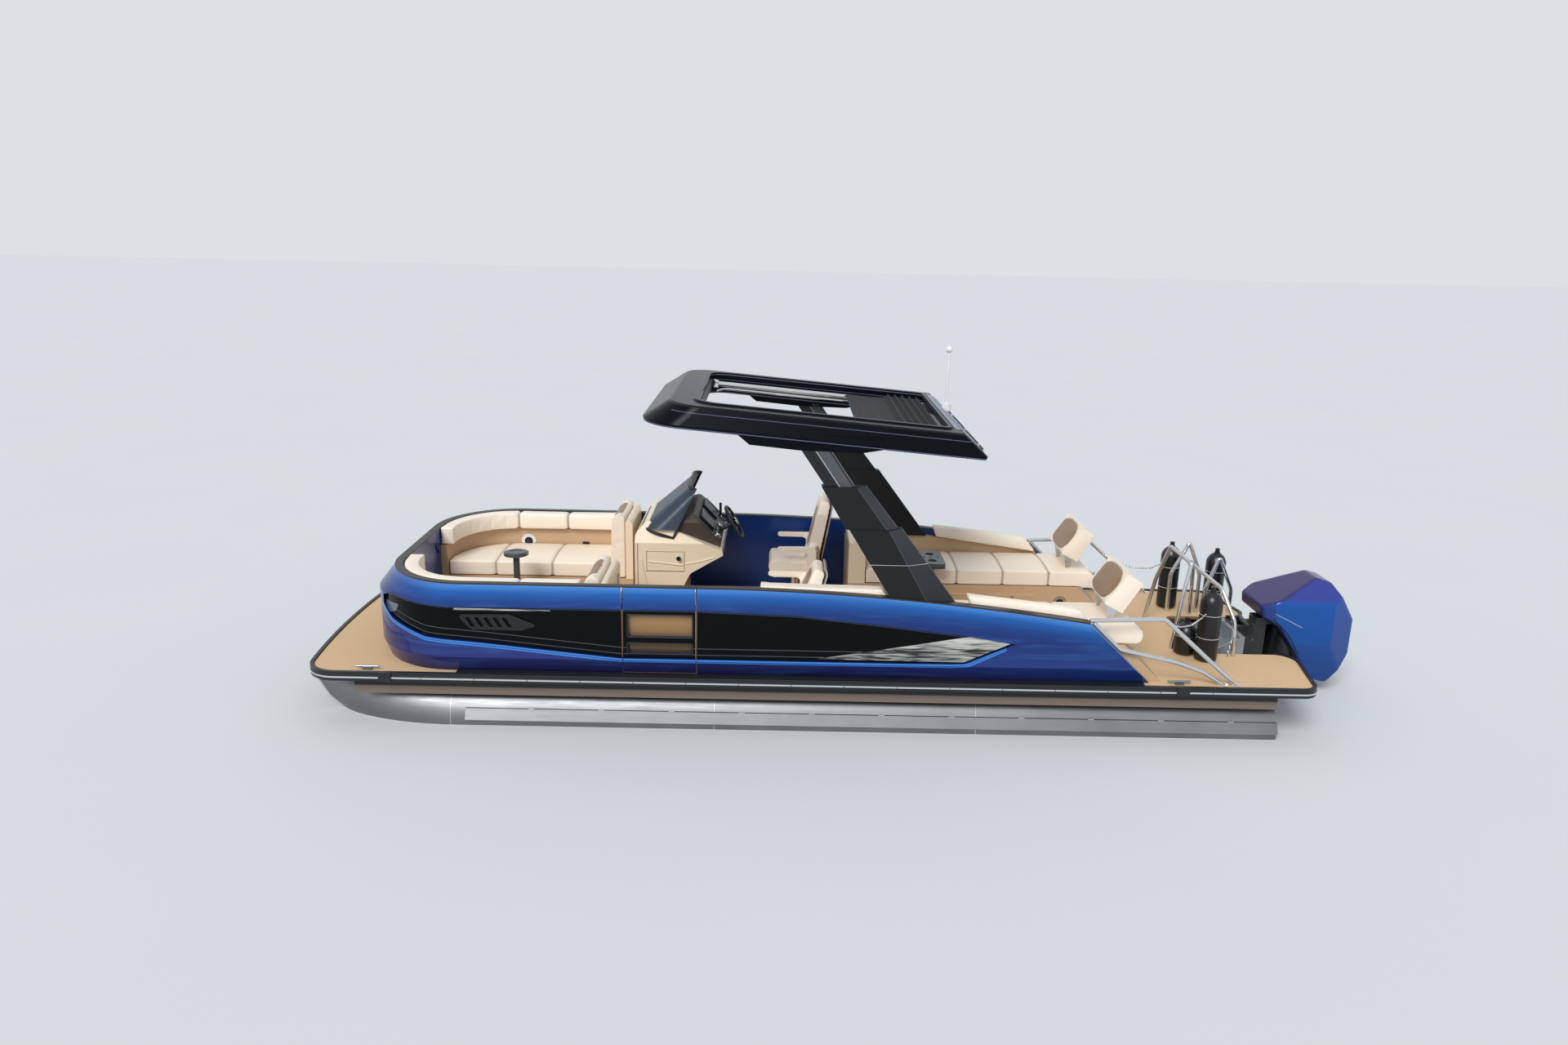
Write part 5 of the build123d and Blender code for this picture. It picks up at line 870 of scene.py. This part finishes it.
# round bar along the spots: a curve with a round bevel, then made mesh
def bar(name, spots, radius, material, body, closed=False):
    clearSelection()
    bpy.ops.curve.primitive_nurbs_path_add(location=(0, 0, 0))
    piece = bpy.context.object
    piece.name = name
    piece.data.splines.clear()
    path = piece.data.splines.new("POLY")
    path.points.add(len(spots) - 1)
    for point, spot in zip(path.points, spots):
        point.co = (*spot, 1)
    path.use_cyclic_u = closed
    piece.data.dimensions = "3D"
    piece.data.bevel_depth = radius
    piece.data.bevel_resolution = 3
    piece.data.use_fill_caps = True
    bpy.ops.object.convert(target="MESH")
    finishPiece(piece, material, body)
    return piece


# block with rounded edges; the face that looks along "facing" is inset and pressed in or pulled out
def block(name, size, place, material, body, turn=(0, 0, 0), edge=0.004, facing=None, inset=0.01,
          depth=-0.004):
    clearSelection()
    bpy.ops.mesh.primitive_cube_add(size=1, location=place, rotation=turn)
    piece = bpy.context.object
    piece.name = name
    piece.scale = size
    bpy.ops.object.transform_apply(location=False, rotation=False, scale=True)
    bpy.ops.object.mode_set(mode="EDIT")
    bpy.ops.mesh.select_all(action="SELECT")
    bpy.ops.mesh.bevel(offset=edge, segments=2)
    if facing:
        pressFace(piece, facing, inset, depth)
    finishPiece(piece, material, body)
    return piece


def pressFace(piece, facing, inset, depth):
    bpy.ops.object.mode_set(mode="OBJECT")
    largest = max((polygon for polygon in piece.data.polygons if polygon.normal.dot(Vector(facing)) > 0.95),
                  key=lambda polygon: polygon.area)
    for polygon in piece.data.polygons:
        polygon.select = polygon == largest
    bpy.ops.object.mode_set(mode="EDIT")
    bpy.ops.mesh.select_mode(type="FACE")
    bpy.ops.mesh.inset(thickness=inset, depth=0)
    bpy.ops.mesh.extrude_region_move(TRANSFORM_OT_translate={"value": Vector(facing) * depth, "orient_type": "LOCAL"})


# disc across an axis, its rim rounded and its outer face dished
def disc(name, radius, depth, place, axis, material, body, slotName, dish=0.3, sides=32):
    clearSelection()
    turn = Vector(axis).to_track_quat("Z", "Y").to_euler()
    bpy.ops.mesh.primitive_cylinder_add(vertices=sides, radius=radius, depth=depth, location=place, rotation=turn)
    piece = bpy.context.object
    piece.name = name
    bpy.ops.object.mode_set(mode="EDIT")
    pressFace(piece, (0, 0, 1), radius * 0.18, depth * 0.25)
    bpy.ops.mesh.inset(thickness=radius * 0.25, depth=0)
    bpy.ops.mesh.extrude_region_move(TRANSFORM_OT_translate={"value": Vector((0, 0, -depth * dish)),
                                                             "orient_type": "LOCAL"})
    finishPiece(piece, material, body)
    return piece


def copyTo(piece, name, moves):
    copies = []
    for number, move in enumerate(moves):
        other = piece.copy()
        other.data = piece.data.copy()
        other.name = name + str(number + 2)
        bpy.context.scene.collection.objects.link(other)
        other.data.transform(Matrix.Translation(move))
        copies.append(other)
    return copies


def joinAll(piece, others):
    clearSelection()
    for other in others:
        other.select_set(True)
    piece.select_set(True)
    bpy.context.view_layer.objects.active = piece
    bpy.ops.object.join()
    return piece


bothSides = ((1, "Port"), (-1, "Starboard"))

# tubes: weld rings, a bright stem bar on each nose, and short welds along the lifting strake
tubeSet = {"tubes": [("port_pontoon", 0.9), ("starboard_pontoon", -0.9), ("centre_pontoon", 0.0)], "radius": 0.3175,
           "centreZ": 0.02,
           "seams": (3.11, 0.87, -1.36), "weld": 0.0035, "stemHalf": 0.011, "stemDepth": 0.012,
           "stitchPlace": (1.206, 0.153), "stitchEnds": (2.445, 2.395), "stitchStep": 0.595,
           "stitchCount": 11, "stitchRadius": 0.0055, "stemAheadOf": 3.3}
# weld metal: brighter than the sheet beside it, finely rippled
weldMetal = sheetAluminium("weld bead", "#E2E4E6", "#C6C9CC", 0.35, 60)
for node, y in tubeSet["tubes"]:
    rings = []
    for x in tubeSet["seams"]:
        spots = [(x, y + tubeSet["radius"] * math.cos(a * math.pi / 32),
                  tubeSet["centreZ"] + tubeSet["radius"] * math.sin(a * math.pi / 32)) for a in range(64)]
        rings.append(bar("weldRings_" + node, spots, tubeSet["weld"], weldMetal, "boat", closed=True))
    joinAll(rings[0], rings[1:])
    stem = copySkin("stemBar_" + node, node)
    cutAway((0, y + tubeSet["stemHalf"], 0), (0, 1, 0))
    cutAway((0, y - tubeSet["stemHalf"], 0), (0, -1, 0))
    keepFaces(stem, lambda centre, normal: centre.x > tubeSet["stemAheadOf"]
              and normal.x > 0.12 and normal.z < 0.3 and abs(normal.y) < 0.5)
    thicken(stem, tubeSet["stemDepth"])
    finishPiece(stem, weldMetal, "boat")
for side, word in bothSides:
    y, z = side * tubeSet["stitchPlace"][0], tubeSet["stitchPlace"][1]
    stitch = bar("strakeWelds" + word, [(x, y, z) for x in tubeSet["stitchEnds"]], tubeSet["stitchRadius"], weldMetal,
                 "boat")
    joinAll(stitch, copyTo(stitch, "strakeWelds" + word,
                           [(-tubeSet["stitchStep"] * number, 0, 0) for number in range(1, tubeSet["stitchCount"])]))
print("tube details made")

# black strip over the deck's margin between the fence's foot and the rub rail
footSet = {"aftX": -2.74, "foreX": 3.02, "innerY": 1.225, "outerY": 1.288, "low": 0.5, "high": 0.513}
for side, word in bothSides:
    size = (footSet["foreX"] - footSet["aftX"], footSet["outerY"] - footSet["innerY"], footSet["high"] - footSet["low"])
    middle = ((footSet["foreX"] + footSet["aftX"]) / 2, side * (footSet["outerY"] + footSet["innerY"]) / 2,
              (footSet["high"] + footSet["low"]) / 2)
    block("footTrim" + word, size, middle, railPlastic, "boat", edge=0.0025, facing=(0, 0, 1),
          inset=0.014, depth=-0.002)

# gates: bronze edges beside the port gate's seams, satin black frames round its panes, and a latch on each gate
gateSet = {"profile": [(1.219, 0.507), (1.2525, 0.655), (1.2535, 1.08), (1.262, 1.12), (1.277, 1.2), (1.272, 1.24),
                       (1.249, 1.268)],
           "edge": 0.003, "edgeX": (1.024, 1.633), "frame": 0.006, "frameY": 1.2525, "frameCorner": 0.012,
           "latch": (0.028, 0.02), "latchPlace": (1.12, 1.16, 1.18), "bowLatchPlace": (3.605, 0.27, 1.08),
           "panes": [(1.048, 1.589, 0.839, 1.036), (1.048, 1.589, 0.692, 0.786)]}
# bronze anodised aluminium: a warm satin edge, unevenly toned
copper, tree, shader = newMaterial("bronze anodised edge", "#B98E6C", 0.25, 0.9)
coords = addNode(tree, "ShaderNodeTexCoord")
dull = addNode(tree, "ShaderNodeTexNoise", {"Scale": 12, "Detail": 3}, {"Vector": coords.outputs["Object"]})
tone = addNode(tree, "ShaderNodeMix", {6: linear("#8E6A50"), 7: linear("#D8B394")}, {0: dull.outputs["Fac"]},
               data_type="RGBA")
tree.links.new(tone.outputs[2], shader.inputs["Base Color"])
for name, x, body in zip(("gateEdgeAft", "gateEdgeForward"), gateSet["edgeX"], ("port_gate", "boat")):
    bar(name, [(x, y, z) for y, z in gateSet["profile"]], gateSet["edge"], copper, body)
for number, (aft, fore, low, high) in enumerate(gateSet["panes"]):
    corners = [(aft, gateSet["frameY"], low), (fore, gateSet["frameY"], low), (fore, gateSet["frameY"], high),
               (aft, gateSet["frameY"], high)]
    bar("paneFrame" + str(number + 1), bent(corners, gateSet["frameCorner"], closed=True), gateSet["frame"],
        blackPlastic, "port_gate", closed=True)
disc("gateLatch", *gateSet["latch"], gateSet["latchPlace"], (0, -1, 0), stainless, "port_gate", "stainless")
disc("bowGateLatch", *gateSet["latch"], gateSet["bowLatchPlace"], (-1, 0, 0), stainless, "bow_gate", "stainless")

# screws along the rub rail's bright strip
screwSet = {"radius": 0.006, "depth": 0.003, "y": 1.3305, "z": 0.463, "start": -3.3, "step": 0.44, "count": 16}
for side, name in ((1, "railScrewsPort"), (-1, "railScrewsStarboard")):
    screw = disc(name, screwSet["radius"], screwSet["depth"], (screwSet["start"], side * screwSet["y"], screwSet["z"]),
                 (0, side, 0), castStainless, "boat", "stainless", sides=12)
    joinAll(screw, copyTo(screw, name, [(screwSet["step"] * number, 0, 0) for number in range(1, screwSet["count"])]))

# bow lounges: speakers and small black plates on the liner, locker doors in the aisle faces, fittings of the table
loungeSet = {"linerY": 1.123, "aisleY": 0.43, "speaker": (2.922, 0.969), "speakerRadius": 0.075,
             "square": (2.335, 0.95), "squareSize": (0.07, 0.008, 0.04),
             "doors": [(2.35, 0.62), (2.98, 0.62)], "doorSize": (0.46, 0.012, 0.17), "catch": (0.013, 0.008),
             "catchRise": 0.055, "tablePlace": (2.812, -0.10),
             "flangeZ": 0.508, "topPlateZ": 1.151}
for side, word in bothSides:
    x, z = loungeSet["speaker"]
    y = side * loungeSet["linerY"]
    disc("bowSpeakerRing" + word, loungeSet["speakerRadius"], 0.014, (x, y, z), (0, -side, 0), stainless, "boat",
         "stainless", dish=0.5)
    disc("bowSpeakerCone" + word, loungeSet["speakerRadius"] * 0.62, 0.01, (x, y - side * 0.005, z), (0, -side, 0),
         blackPlastic, "boat", "black_plastic", dish=-0.9)
    x, z = loungeSet["square"]
    block("linerPlate" + word, loungeSet["squareSize"], (x, y, z), blackPlastic, "boat", edge=0.002,
          facing=(0, -side, 0))
    for number, (x, z) in enumerate(loungeSet["doors"]):
        block("lockerDoor" + word + str(number + 1), loungeSet["doorSize"], (x, side * loungeSet["aisleY"], z),
              tanShell, "boat",
                     edge=0.005, facing=(0, -side, 0), inset=0.022, depth=-0.004)
        disc("lockerCatch" + word + str(number + 1), *loungeSet["catch"],
             (x, side * (loungeSet["aisleY"] - 0.008), z + loungeSet["catchRise"]), (0, -side, 0), stainless, "boat",
             "stainless", sides=20)
disc("bowTableFlange", 0.07, 0.012, (*loungeSet["tablePlace"], loungeSet["flangeZ"]), (0, 0, 1), stainless, "boat",
     "stainless")
disc("bowTableTopPlate", 0.1, 0.006, (*loungeSet["tablePlace"], loungeSet["topPlateZ"]), (0, 0, 1), greyTrim, "boat",
     "trim_grey", dish=0.6)
print("bow details made")

# windshield: thick black rim round the sheet, its ends at the aft edges of the wings
shieldSet = {"y": -0.6425, "foot": {"front": 1.64, "half": 0.50, "radius": 0.19, "frontZ": 1.382, "aftX": 1.34,
                                    "aftZ": 1.302},
             "head": {"front": 1.205, "half": 0.40, "radius": 0.12, "frontZ": 1.762, "aftX": 1.132, "aftZ": 1.748},
             "rim": 0.016}


def shieldEdge(edge):
    half = [(edge["aftX"], edge["half"])] if edge["aftX"] < edge["front"] - edge["radius"] else []
    for step in range(13):
        angle = math.radians(90 - 7.5 * step)
        x = edge["front"] - edge["radius"] + edge["radius"] * math.cos(angle)
        if x >= edge["aftX"]:
            half.append((x, edge["half"] - edge["radius"] + edge["radius"] * math.sin(angle)))
    half = half + [(x, -y) for x, y in reversed(half)]
    rise = (edge["frontZ"] - edge["aftZ"]) / (edge["front"] - edge["aftX"])
    return [(x, shieldSet["y"] + y, edge["aftZ"] + (x - edge["aftX"]) * rise) for x, y in half]


foot = shieldEdge(shieldSet["foot"])
head = shieldEdge(shieldSet["head"])
bar("windshieldRim", foot + list(reversed(head)), shieldSet["rim"], blackPlastic, "boat", closed=True)

# dash: two screens, a row of round gauges and a switch panel on the hood's sloping aft face
dashSet = {"middle": (1.02, 1.3875), "slope": math.atan2(-0.688, -0.727), "out": (-0.727, 0, 0.688),
           "up": (0.688, 0, 0.727),
           "screens": (-0.43, -0.85), "screen": (0.03, 0.30, 0.19), "gauges": (-0.30, -0.64, -0.98),
           "gaugeRadius": 0.036,
           "gaugeRow": -0.125, "switchPanel": (0.012, 0.2, 0.07), "switchY": -0.46, "seamY": -0.197,
           "seam": [(1.338, 1.298), (1.258, 1.486), (1.152, 1.52), (0.896, 1.25), (0.905, 1.21)]}
# display glass: dark and smooth, with a faint lighter cloud
glassBlack, tree, shader = newMaterial("black display glass", "#0B0D11", 0.3, Specular_IOR_Level=0.15)
coords = addNode(tree, "ShaderNodeTexCoord")
cloud = addNode(tree, "ShaderNodeTexNoise", {"Scale": 5, "Detail": 1}, {"Vector": coords.outputs["Object"]})
tone = addNode(tree, "ShaderNodeMix", {6: linear("#0A0C10"), 7: linear("#1B222B")}, {0: cloud.outputs["Fac"]},
               data_type="RGBA")
tree.links.new(tone.outputs[2], shader.inputs["Base Color"])


def dashPoint(y, along, out):
    x, z = dashSet["middle"]
    return (x + dashSet["up"][0] * along + dashSet["out"][0] * out, y,
            z + dashSet["up"][2] * along + dashSet["out"][2] * out)


for number, y in enumerate(dashSet["screens"]):
    block("dashScreen" + str(number + 1), dashSet["screen"], dashPoint(y, 0.03, 0.012), glassBlack, "boat",
          turn=(0, dashSet["slope"], 0),
          edge=0.006, facing=(1, 0, 0), inset=0.014, depth=-0.004)
for number, y in enumerate(dashSet["gauges"]):
    disc("dashGauge" + str(number + 1), dashSet["gaugeRadius"], 0.016, dashPoint(y, dashSet["gaugeRow"], 0.006),
         dashSet["out"], stainless, "boat", "stainless", dish=0.7)
block("switchPanel", dashSet["switchPanel"], dashPoint(dashSet["switchY"], dashSet["gaugeRow"], 0.004), glassBlack,
      "boat", turn=(0, dashSet["slope"], 0), facing=(1, 0, 0))
bar("hoodSeamPort", [(x, dashSet["seamY"], z) for x, z in dashSet["seam"]], 0.004, blackPlastic, "boat")
disc("wheelHub", 0.045, 0.012, (0.785 - 0.016, -0.6, 1.35 + 0.009), (-0.866, 0, 0.5), chrome, "wheel", "bright_trim")

# console side: a moulded ridge across the lid, a slanting rib below it, a seam and a knob
ridgeSet = {"y": -0.109, "radius": 0.007, "console": ((1.222, 1.062), (1.08, 1.09), (0.95, 1.13)),
            "lid": ((1.572, 1.082), (1.4, 1.065), (1.248, 1.048)), "rib": ((1.64, 1.10), (1.60, 0.9), (1.50, 0.56)),
            "knob": (1.286, -0.084, 1.12), "seam": ((1.672, 1.25), (1.672, 0.9), (1.672, 0.53))}
bar("consoleRidge", [(x, ridgeSet["y"], z) for x, z in ridgeSet["console"]], ridgeSet["radius"], beigeShell, "boat")
bar("lidRidge", [(x, ridgeSet["y"] + 0.002, z) for x, z in ridgeSet["lid"]], ridgeSet["radius"], beigeShell,
    "glovebox")
bar("consoleRib", [(x, ridgeSet["y"], z) for x, z in ridgeSet["rib"]], 0.009, beigeShell, "boat")
disc("lidKnob", 0.021, 0.014, ridgeSet["knob"], (0, 1, 0), blackPlastic, "glovebox", "black_plastic", sides=24)
bar("consoleSeam", [(x, ridgeSet["y"] - 0.001, z) for x, z in ridgeSet["seam"]], 0.003, brownTrim, "boat")
print("helm details made")

# chairs: a grey-beige outer shell with a tan lower part, held off the pad
tanSkin = mouldedPlastic("tan seat shell", "#A3815F", "#8F6F50", 0.5, 350, 0.2)
greyBeige = mouldedPlastic("grey beige seat shell", "#B5AA9C", "#A79C8E", 0.45, 350, 0.2)
shellSet = {"depth": 0.01, "off": 0.013}
for node, body, low, split in (("helm_chair", "helm_seat", 0.98, 1.28),
                               ("companion_chair", "companion_seat", 0.98, 1.14)):
    for word, material, slotName, lowest, highest in (("Low", tanSkin, "tan_shell", low, split),
                                                      ("High", greyBeige, "beige_shell", split, 3)):
        shell = copySkin("chairShell" + word + "_" + body, node)
        cutAway((0, 0, highest), (0, 0, 1))
        cutAway((0, 0, lowest), (0, 0, -1))
        keepFaces(shell, lambda centre, normal: normal.x < -0.55)
        shell.data.transform(Matrix.Translation((-shellSet["off"], 0, 0)))
        thicken(shell, shellSet["depth"])
        finishPiece(shell, material, body)

# arch sleeves: a grey line down the folds of each side face and a bright one round the lower stage
archSet = {"outer": 1.2445, "inset": 0.012, "chamferY": 1.169, "line": 0.003,
           "folds": [(-0.926, 1.112), (-0.545, 1.786), (-0.522, 1.794), (-0.276, 2.136)],
           "stage": [(-0.403, 1.50), (-0.708, 1.50), (-0.875, 1.50)]}
for side, word in bothSides:
    outer, inset = archSet["outer"], archSet["inset"]
    lower = [(x, side * outer, z) for x, z in archSet["folds"][:2]]
    upper = [(x, side * (outer - inset), z) for x, z in archSet["folds"][2:]]
    bar("archFoldLow" + word, lower, archSet["line"], greyTrim, "boat")
    bar("archFoldHigh" + word, upper, archSet["line"], greyTrim, "boat")
    (foreX, z), (splitX, z), (aftX, z) = archSet["stage"]
    bar("archStage" + word, [(foreX, side * outer, z), (splitX, side * outer, z),
                             (aftX, side * (archSet["chamferY"] + 0.004), z)], archSet["line"], chrome, "boat")

# hardtop: slide rails, brackets, ribs in the front wall, aft and top plates, bolts, pole collar, strap, lamps
roofSet = {"railY": 0.925, "railHeight": 0.045, "railRadius": 0.012, "frontX": 1.043, "ribs": (0.05, 0.08, 0.11, 0.14),
           "ribRadius": 0.007,
           "plate": (0.2, 2.1, 0.006), "slopeTurn": -42.9,
           "bolts": [(0.05, 0.95), (0.18, 0.95), (0.05, 0.35), (0.18, -0.55), (0.05, -0.95), (0.18, -0.95)],
           "pole": (-1.15, -0.20)}
tiltTurn = (0, -math.radians(shadeSet["tilt"]), 0)
upRoof = (-math.sin(math.radians(shadeSet["tilt"])), 0, math.cos(math.radians(shadeSet["tilt"])))
# clear anodised plate: pale, cool and satin
plateMetal = sheetAluminium("pale anodised plate", "#A7AFBC", "#8D96A5", 0.35, 20)
for side, word in bothSides:
    y = side * roofSet["railY"]
    spots = [roofPoint(-0.97, y, roofSet["railHeight"]), roofPoint(0.93, y, roofSet["railHeight"]),
             roofPoint(1.0, y * 0.99, 0.012)]
    bar("slideRail" + word, bent(spots, 0.06), roofSet["railRadius"], stainless, "hardtop")
    block("railBracket" + word, (0.06, 0.075, 0.085), roofPoint(1.0, side * 0.89, 0.095), chrome, "hardtop",
          turn=tiltTurn, edge=0.012)
    disc("roofLamp" + word, 0.045, 0.02, (0.007, side * 1.1, 2.452), (0, 0, -1), blackPlastic, "hardtop",
         "black_plastic", dish=0.5)
for number, height in enumerate(roofSet["ribs"]):
    bar("frontRib" + str(number + 1), [roofPoint(roofSet["frontX"], y, height) for y in (-0.86, -0.4, 0.4, 0.86)],
        roofSet["ribRadius"], greyTrim, "hardtop")


# spot on the roof's sloping aft face: metres down it, across the boat, and out from it
def slopePoint(down, y, out):
    return roofPoint(-1.13 - 0.787 * down - 0.62 * out, y, 0.173 - 0.617 * down + 0.79 * out)


slopeTurn = (0, math.radians(roofSet["slopeTurn"]), 0)
slopeOut = (math.sin(slopeTurn[1]), 0, math.cos(slopeTurn[1]))
block("aftPlate", roofSet["plate"], slopePoint(0.1175, 0, 0.002), plateMetal, "hardtop",
      turn=slopeTurn,
      edge=0.002, facing=(0, 0, 1), inset=0.012, depth=-0.001)
block("topPlate", (0.054, 1.96, 0.005), roofPoint(-1.087, 0, 0.187), plateMetal, "hardtop",
      turn=tiltTurn, edge=0.002, facing=(0, 0, 1), inset=0.008, depth=-0.001)
bolt = disc("plateBolts", 0.011, 0.007, slopePoint(*roofSet["bolts"][0], 0.006), slopeOut, stainless, "hardtop",
            "stainless", sides=16)
first = slopePoint(*roofSet["bolts"][0], 0)
joinAll(bolt, copyTo(bolt, "plateBolts", [slopePoint(down, y, 0) - first for down, y in roofSet["bolts"][1:]]))
x, y = roofSet["pole"]
disc("poleCollar", 0.034, 0.03, roofPoint(x, y, 0.178), upRoof, chrome, "hardtop", "bright_trim", dish=0.2)
bar("aftStrap", [slopePoint(0.205 - 0.012 * math.sin(y * 7), y, 0.012) for y in (-1.05, -0.8, -0.5, -0.2, 0.1, 0.4,
                                                                                 0.7, 1.05)], 0.007, blackPlastic,
                                                                                 "hardtop")
for number, y in enumerate((-0.62, 0.18, 0.82)):
    block("strapClip" + str(number + 1), (0.028, 0.05, 0.016), slopePoint(0.205 - 0.012 * math.sin(y * 7), y, 0.014),
          chrome, "hardtop", turn=slopeTurn, edge=0.004)
print("arch and roof details made")

# motor cowl: the CAD solid remeshed and smoothed, so that its planes meet in soft edges, with its part lines and slots
cowlShape = {"voxel": 0.011, "rounds": 14, "swell": 0.002, "line": 0.0035, "side": 0.3125,
             "slope": math.atan2(0.82, -0.57), "slotY": 0.15}
cowl = copySkin("motorCowl", "engine_cowl")
bpy.ops.object.mode_set(mode="OBJECT")
soften(cowl, cowlShape["voxel"], cowlShape["rounds"], cowlShape["swell"])
finishPiece(cowl, cowlPaint, "motor_steer", 80)
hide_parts("engine_cowl")
for side, word in bothSides:
    y = side * cowlShape["side"]
    # chrome bar along the side crease: a painted highlight of the crease
    bar("cowlCreaseHighlight" + word, [(-4.21, y - side * 0.004, 0.822), (-4.34, y, 0.76), (-4.47, y, 0.695)],
        cowlShape["line"], chrome, "motor_steer")
    bar("cowlFoot" + word, [(-4.2, y - side * 0.003, 0.775), (-4.36, y, 0.62), (-4.47, y, 0.44)],
        cowlShape["line"] * 1.4, motorBlack, "motor_steer")
    bar("cowlPart" + word, [(-4.19, side * 0.13, 0.897), (-4.62, side * 0.13, 1.1)], cowlShape["line"], motorBlack,
        "motor_steer")
    block("cowlSlot" + word, (0.15, 0.04, 0.014), (-4.85, side * cowlShape["slotY"], 0.957), blackPlastic,
          "motor_steer", turn=(0, cowlShape["slope"], 0),
          edge=0.005, facing=(0, 0, -1), inset=0.007, depth=-0.004)

# fenders in their racks: wire bands and caps, and a clamp where the hoops cross
rackSet = {"fenders": [(-3.47, 0.66, 0.64), (-3.60, -0.79, 0.64), (-3.335, 0.505, 0.30), (-4.06, -0.79, 0.58)],
           "radius": 0.097, "wire": 0.0035,
           "clamp": (-3.515, 0, 1.19)}
for number, (x, y, length) in enumerate(rackSet["fenders"]):
    for level, share in enumerate((0.35, 0.68) if length > 0.4 else (0.6,)):
        spots = [(x + rackSet["radius"] * math.cos(a * math.pi / 16),
                  y + rackSet["radius"] * math.sin(a * math.pi / 16), 0.5 + length * share) for a in range(32)]
        bar("fenderBand" + str(number + 1) + "_" + str(level + 1), spots, rackSet["wire"], stainless, "boat",
            closed=True)
    disc("fenderCap" + str(number + 1), 0.03, 0.02, (x, y, 0.5 + length - 0.004), (0, 0, 1), blackPlastic, "boat",
         "black_plastic", sides=20)
x, y, z = rackSet["clamp"]
disc("hoopClamp", 0.03, 0.05, (x, y, z), (-0.6, 0, -0.3), castStainless, "boat", "stainless", sides=24)

# chains at the stern: one link is modelled, then set along each hanging line, every second link turned
chainSet = {"wire": 0.0028, "length": 0.03, "width": 0.017,
            "lines": [("One", [(-3.045, -1.215, 0.92), (-3.13, -0.98, 0.9), (-3.22, -0.74, 0.92), (-3.3, -0.5, 0.99),
                               (-3.35, -0.335, 1.09)]),
                      ("Two", [(-2.94, 1.215, 1.02), (-3.04, 1.13, 0.975), (-3.18, 1.0, 0.945), (-3.34, 0.80, 0.94),
                               (-3.5, 0.61, 0.97), (-3.6, 0.47, 1.01), (-3.665, 0.385, 1.06)]),
                      ("Three", [(-3.745, 0.55, 0.8), (-3.72, 0.585, 0.65), (-3.69, 0.6, 0.51)])]}
for word, spots in chainSet["lines"]:
    spots = [Vector(spot) for spot in spots]
    pitch = chainSet["length"] - 2.4 * chainSet["wire"]
    places = []
    along = 0.0
    for start, end in zip(spots, spots[1:]):
        reach = (end - start).length
        while along < reach:
            places.append((start.lerp(end, along / reach), (end - start).normalized()))
            along += pitch
        along -= reach
    links = []
    for number, (place, way) in enumerate(places):
        clearSelection()
        bpy.ops.mesh.primitive_torus_add(major_radius=chainSet["width"] / 2 - chainSet["wire"],
                                         minor_radius=chainSet["wire"], major_segments=14, minor_segments=6)
        link = bpy.context.object
        link.name = "chain" + word
        straight = chainSet["length"] / 2 - chainSet["width"] / 2
        for vert in link.data.vertices:
            vert.co.x += straight if vert.co.x > 0 else -straight
        turn = way.to_track_quat("X", "Z").to_matrix().to_4x4()
        link.data.transform(Matrix.Translation(place) @ turn @ Matrix.Rotation(math.pi / 2 * (number % 2), 4, "X"))
        links.append(link)
    finishPiece(joinAll(links[0], links[1:]), stainless, "boat")
print("stern details made")

# pale end plates on the fence's slanted aft ends
for node, word in (("fence_port_aft", "Port"), ("fence_starboard", "Starboard")):
    endPlate = copySkin("fenceEnd" + word, node)
    keepFaces(endPlate, lambda centre, normal: centre.x < -2.2 and normal.x < -0.6 and normal.z > 0.5)
    thicken(endPlate, 0.006)
    finishPiece(endPlate, plateMetal, "boat")


def spotOn(node, start, way):
    return nodes[node].ray_cast(Vector(start), Vector(way))[1]


# aft lounges: locker doors and speakers in the aisle faces, ribs on the tray
aftSet = {"doors": (-1.35, -1.95), "doorSize": (0.46, 0.012, 0.17), "z": 0.64, "speakerX": -2.42,
          "tray": (-1.13, -0.40, 1.0905),
          "catch": (0.013, 0.008), "catchRise": 0.055, "trayRibs": (-0.065, 0, 0.065)}
for side, word in bothSides:
    for number, x in enumerate(aftSet["doors"]):
        face = spotOn("aft_lounge_bases", (x, 0, aftSet["z"]), (0, side, 0))
        block("aftDoor" + word + str(number + 1), aftSet["doorSize"], face, tanShell, "boat", edge=0.005,
              facing=(0, -side, 0), inset=0.022)
        disc("aftCatch" + word + str(number + 1), *aftSet["catch"],
             (x, face.y - side * 0.008, aftSet["z"] + aftSet["catchRise"]), (0, -side, 0), stainless, "boat",
             "stainless", sides=20)
    face = spotOn("aft_lounge_bases", (aftSet["speakerX"], 0, aftSet["z"]), (0, side, 0))
    disc("aftSpeakerRing" + word, 0.07, 0.014, face, (0, -side, 0), stainless, "boat", "stainless", dish=0.5)
    disc("aftSpeakerCone" + word, 0.043, 0.01, (face.x, face.y - side * 0.005, face.z), (0, -side, 0), blackPlastic,
         "boat", "black_plastic", dish=-0.9)
x, y, z = aftSet["tray"]
for number, step in enumerate(aftSet["trayRibs"]):
    bar("trayRib" + str(number + 1), [(x + step, y + 0.035, z), (x + step, y - 0.035, z)], 0.004, blackPlastic, "boat")
print("aft details made")
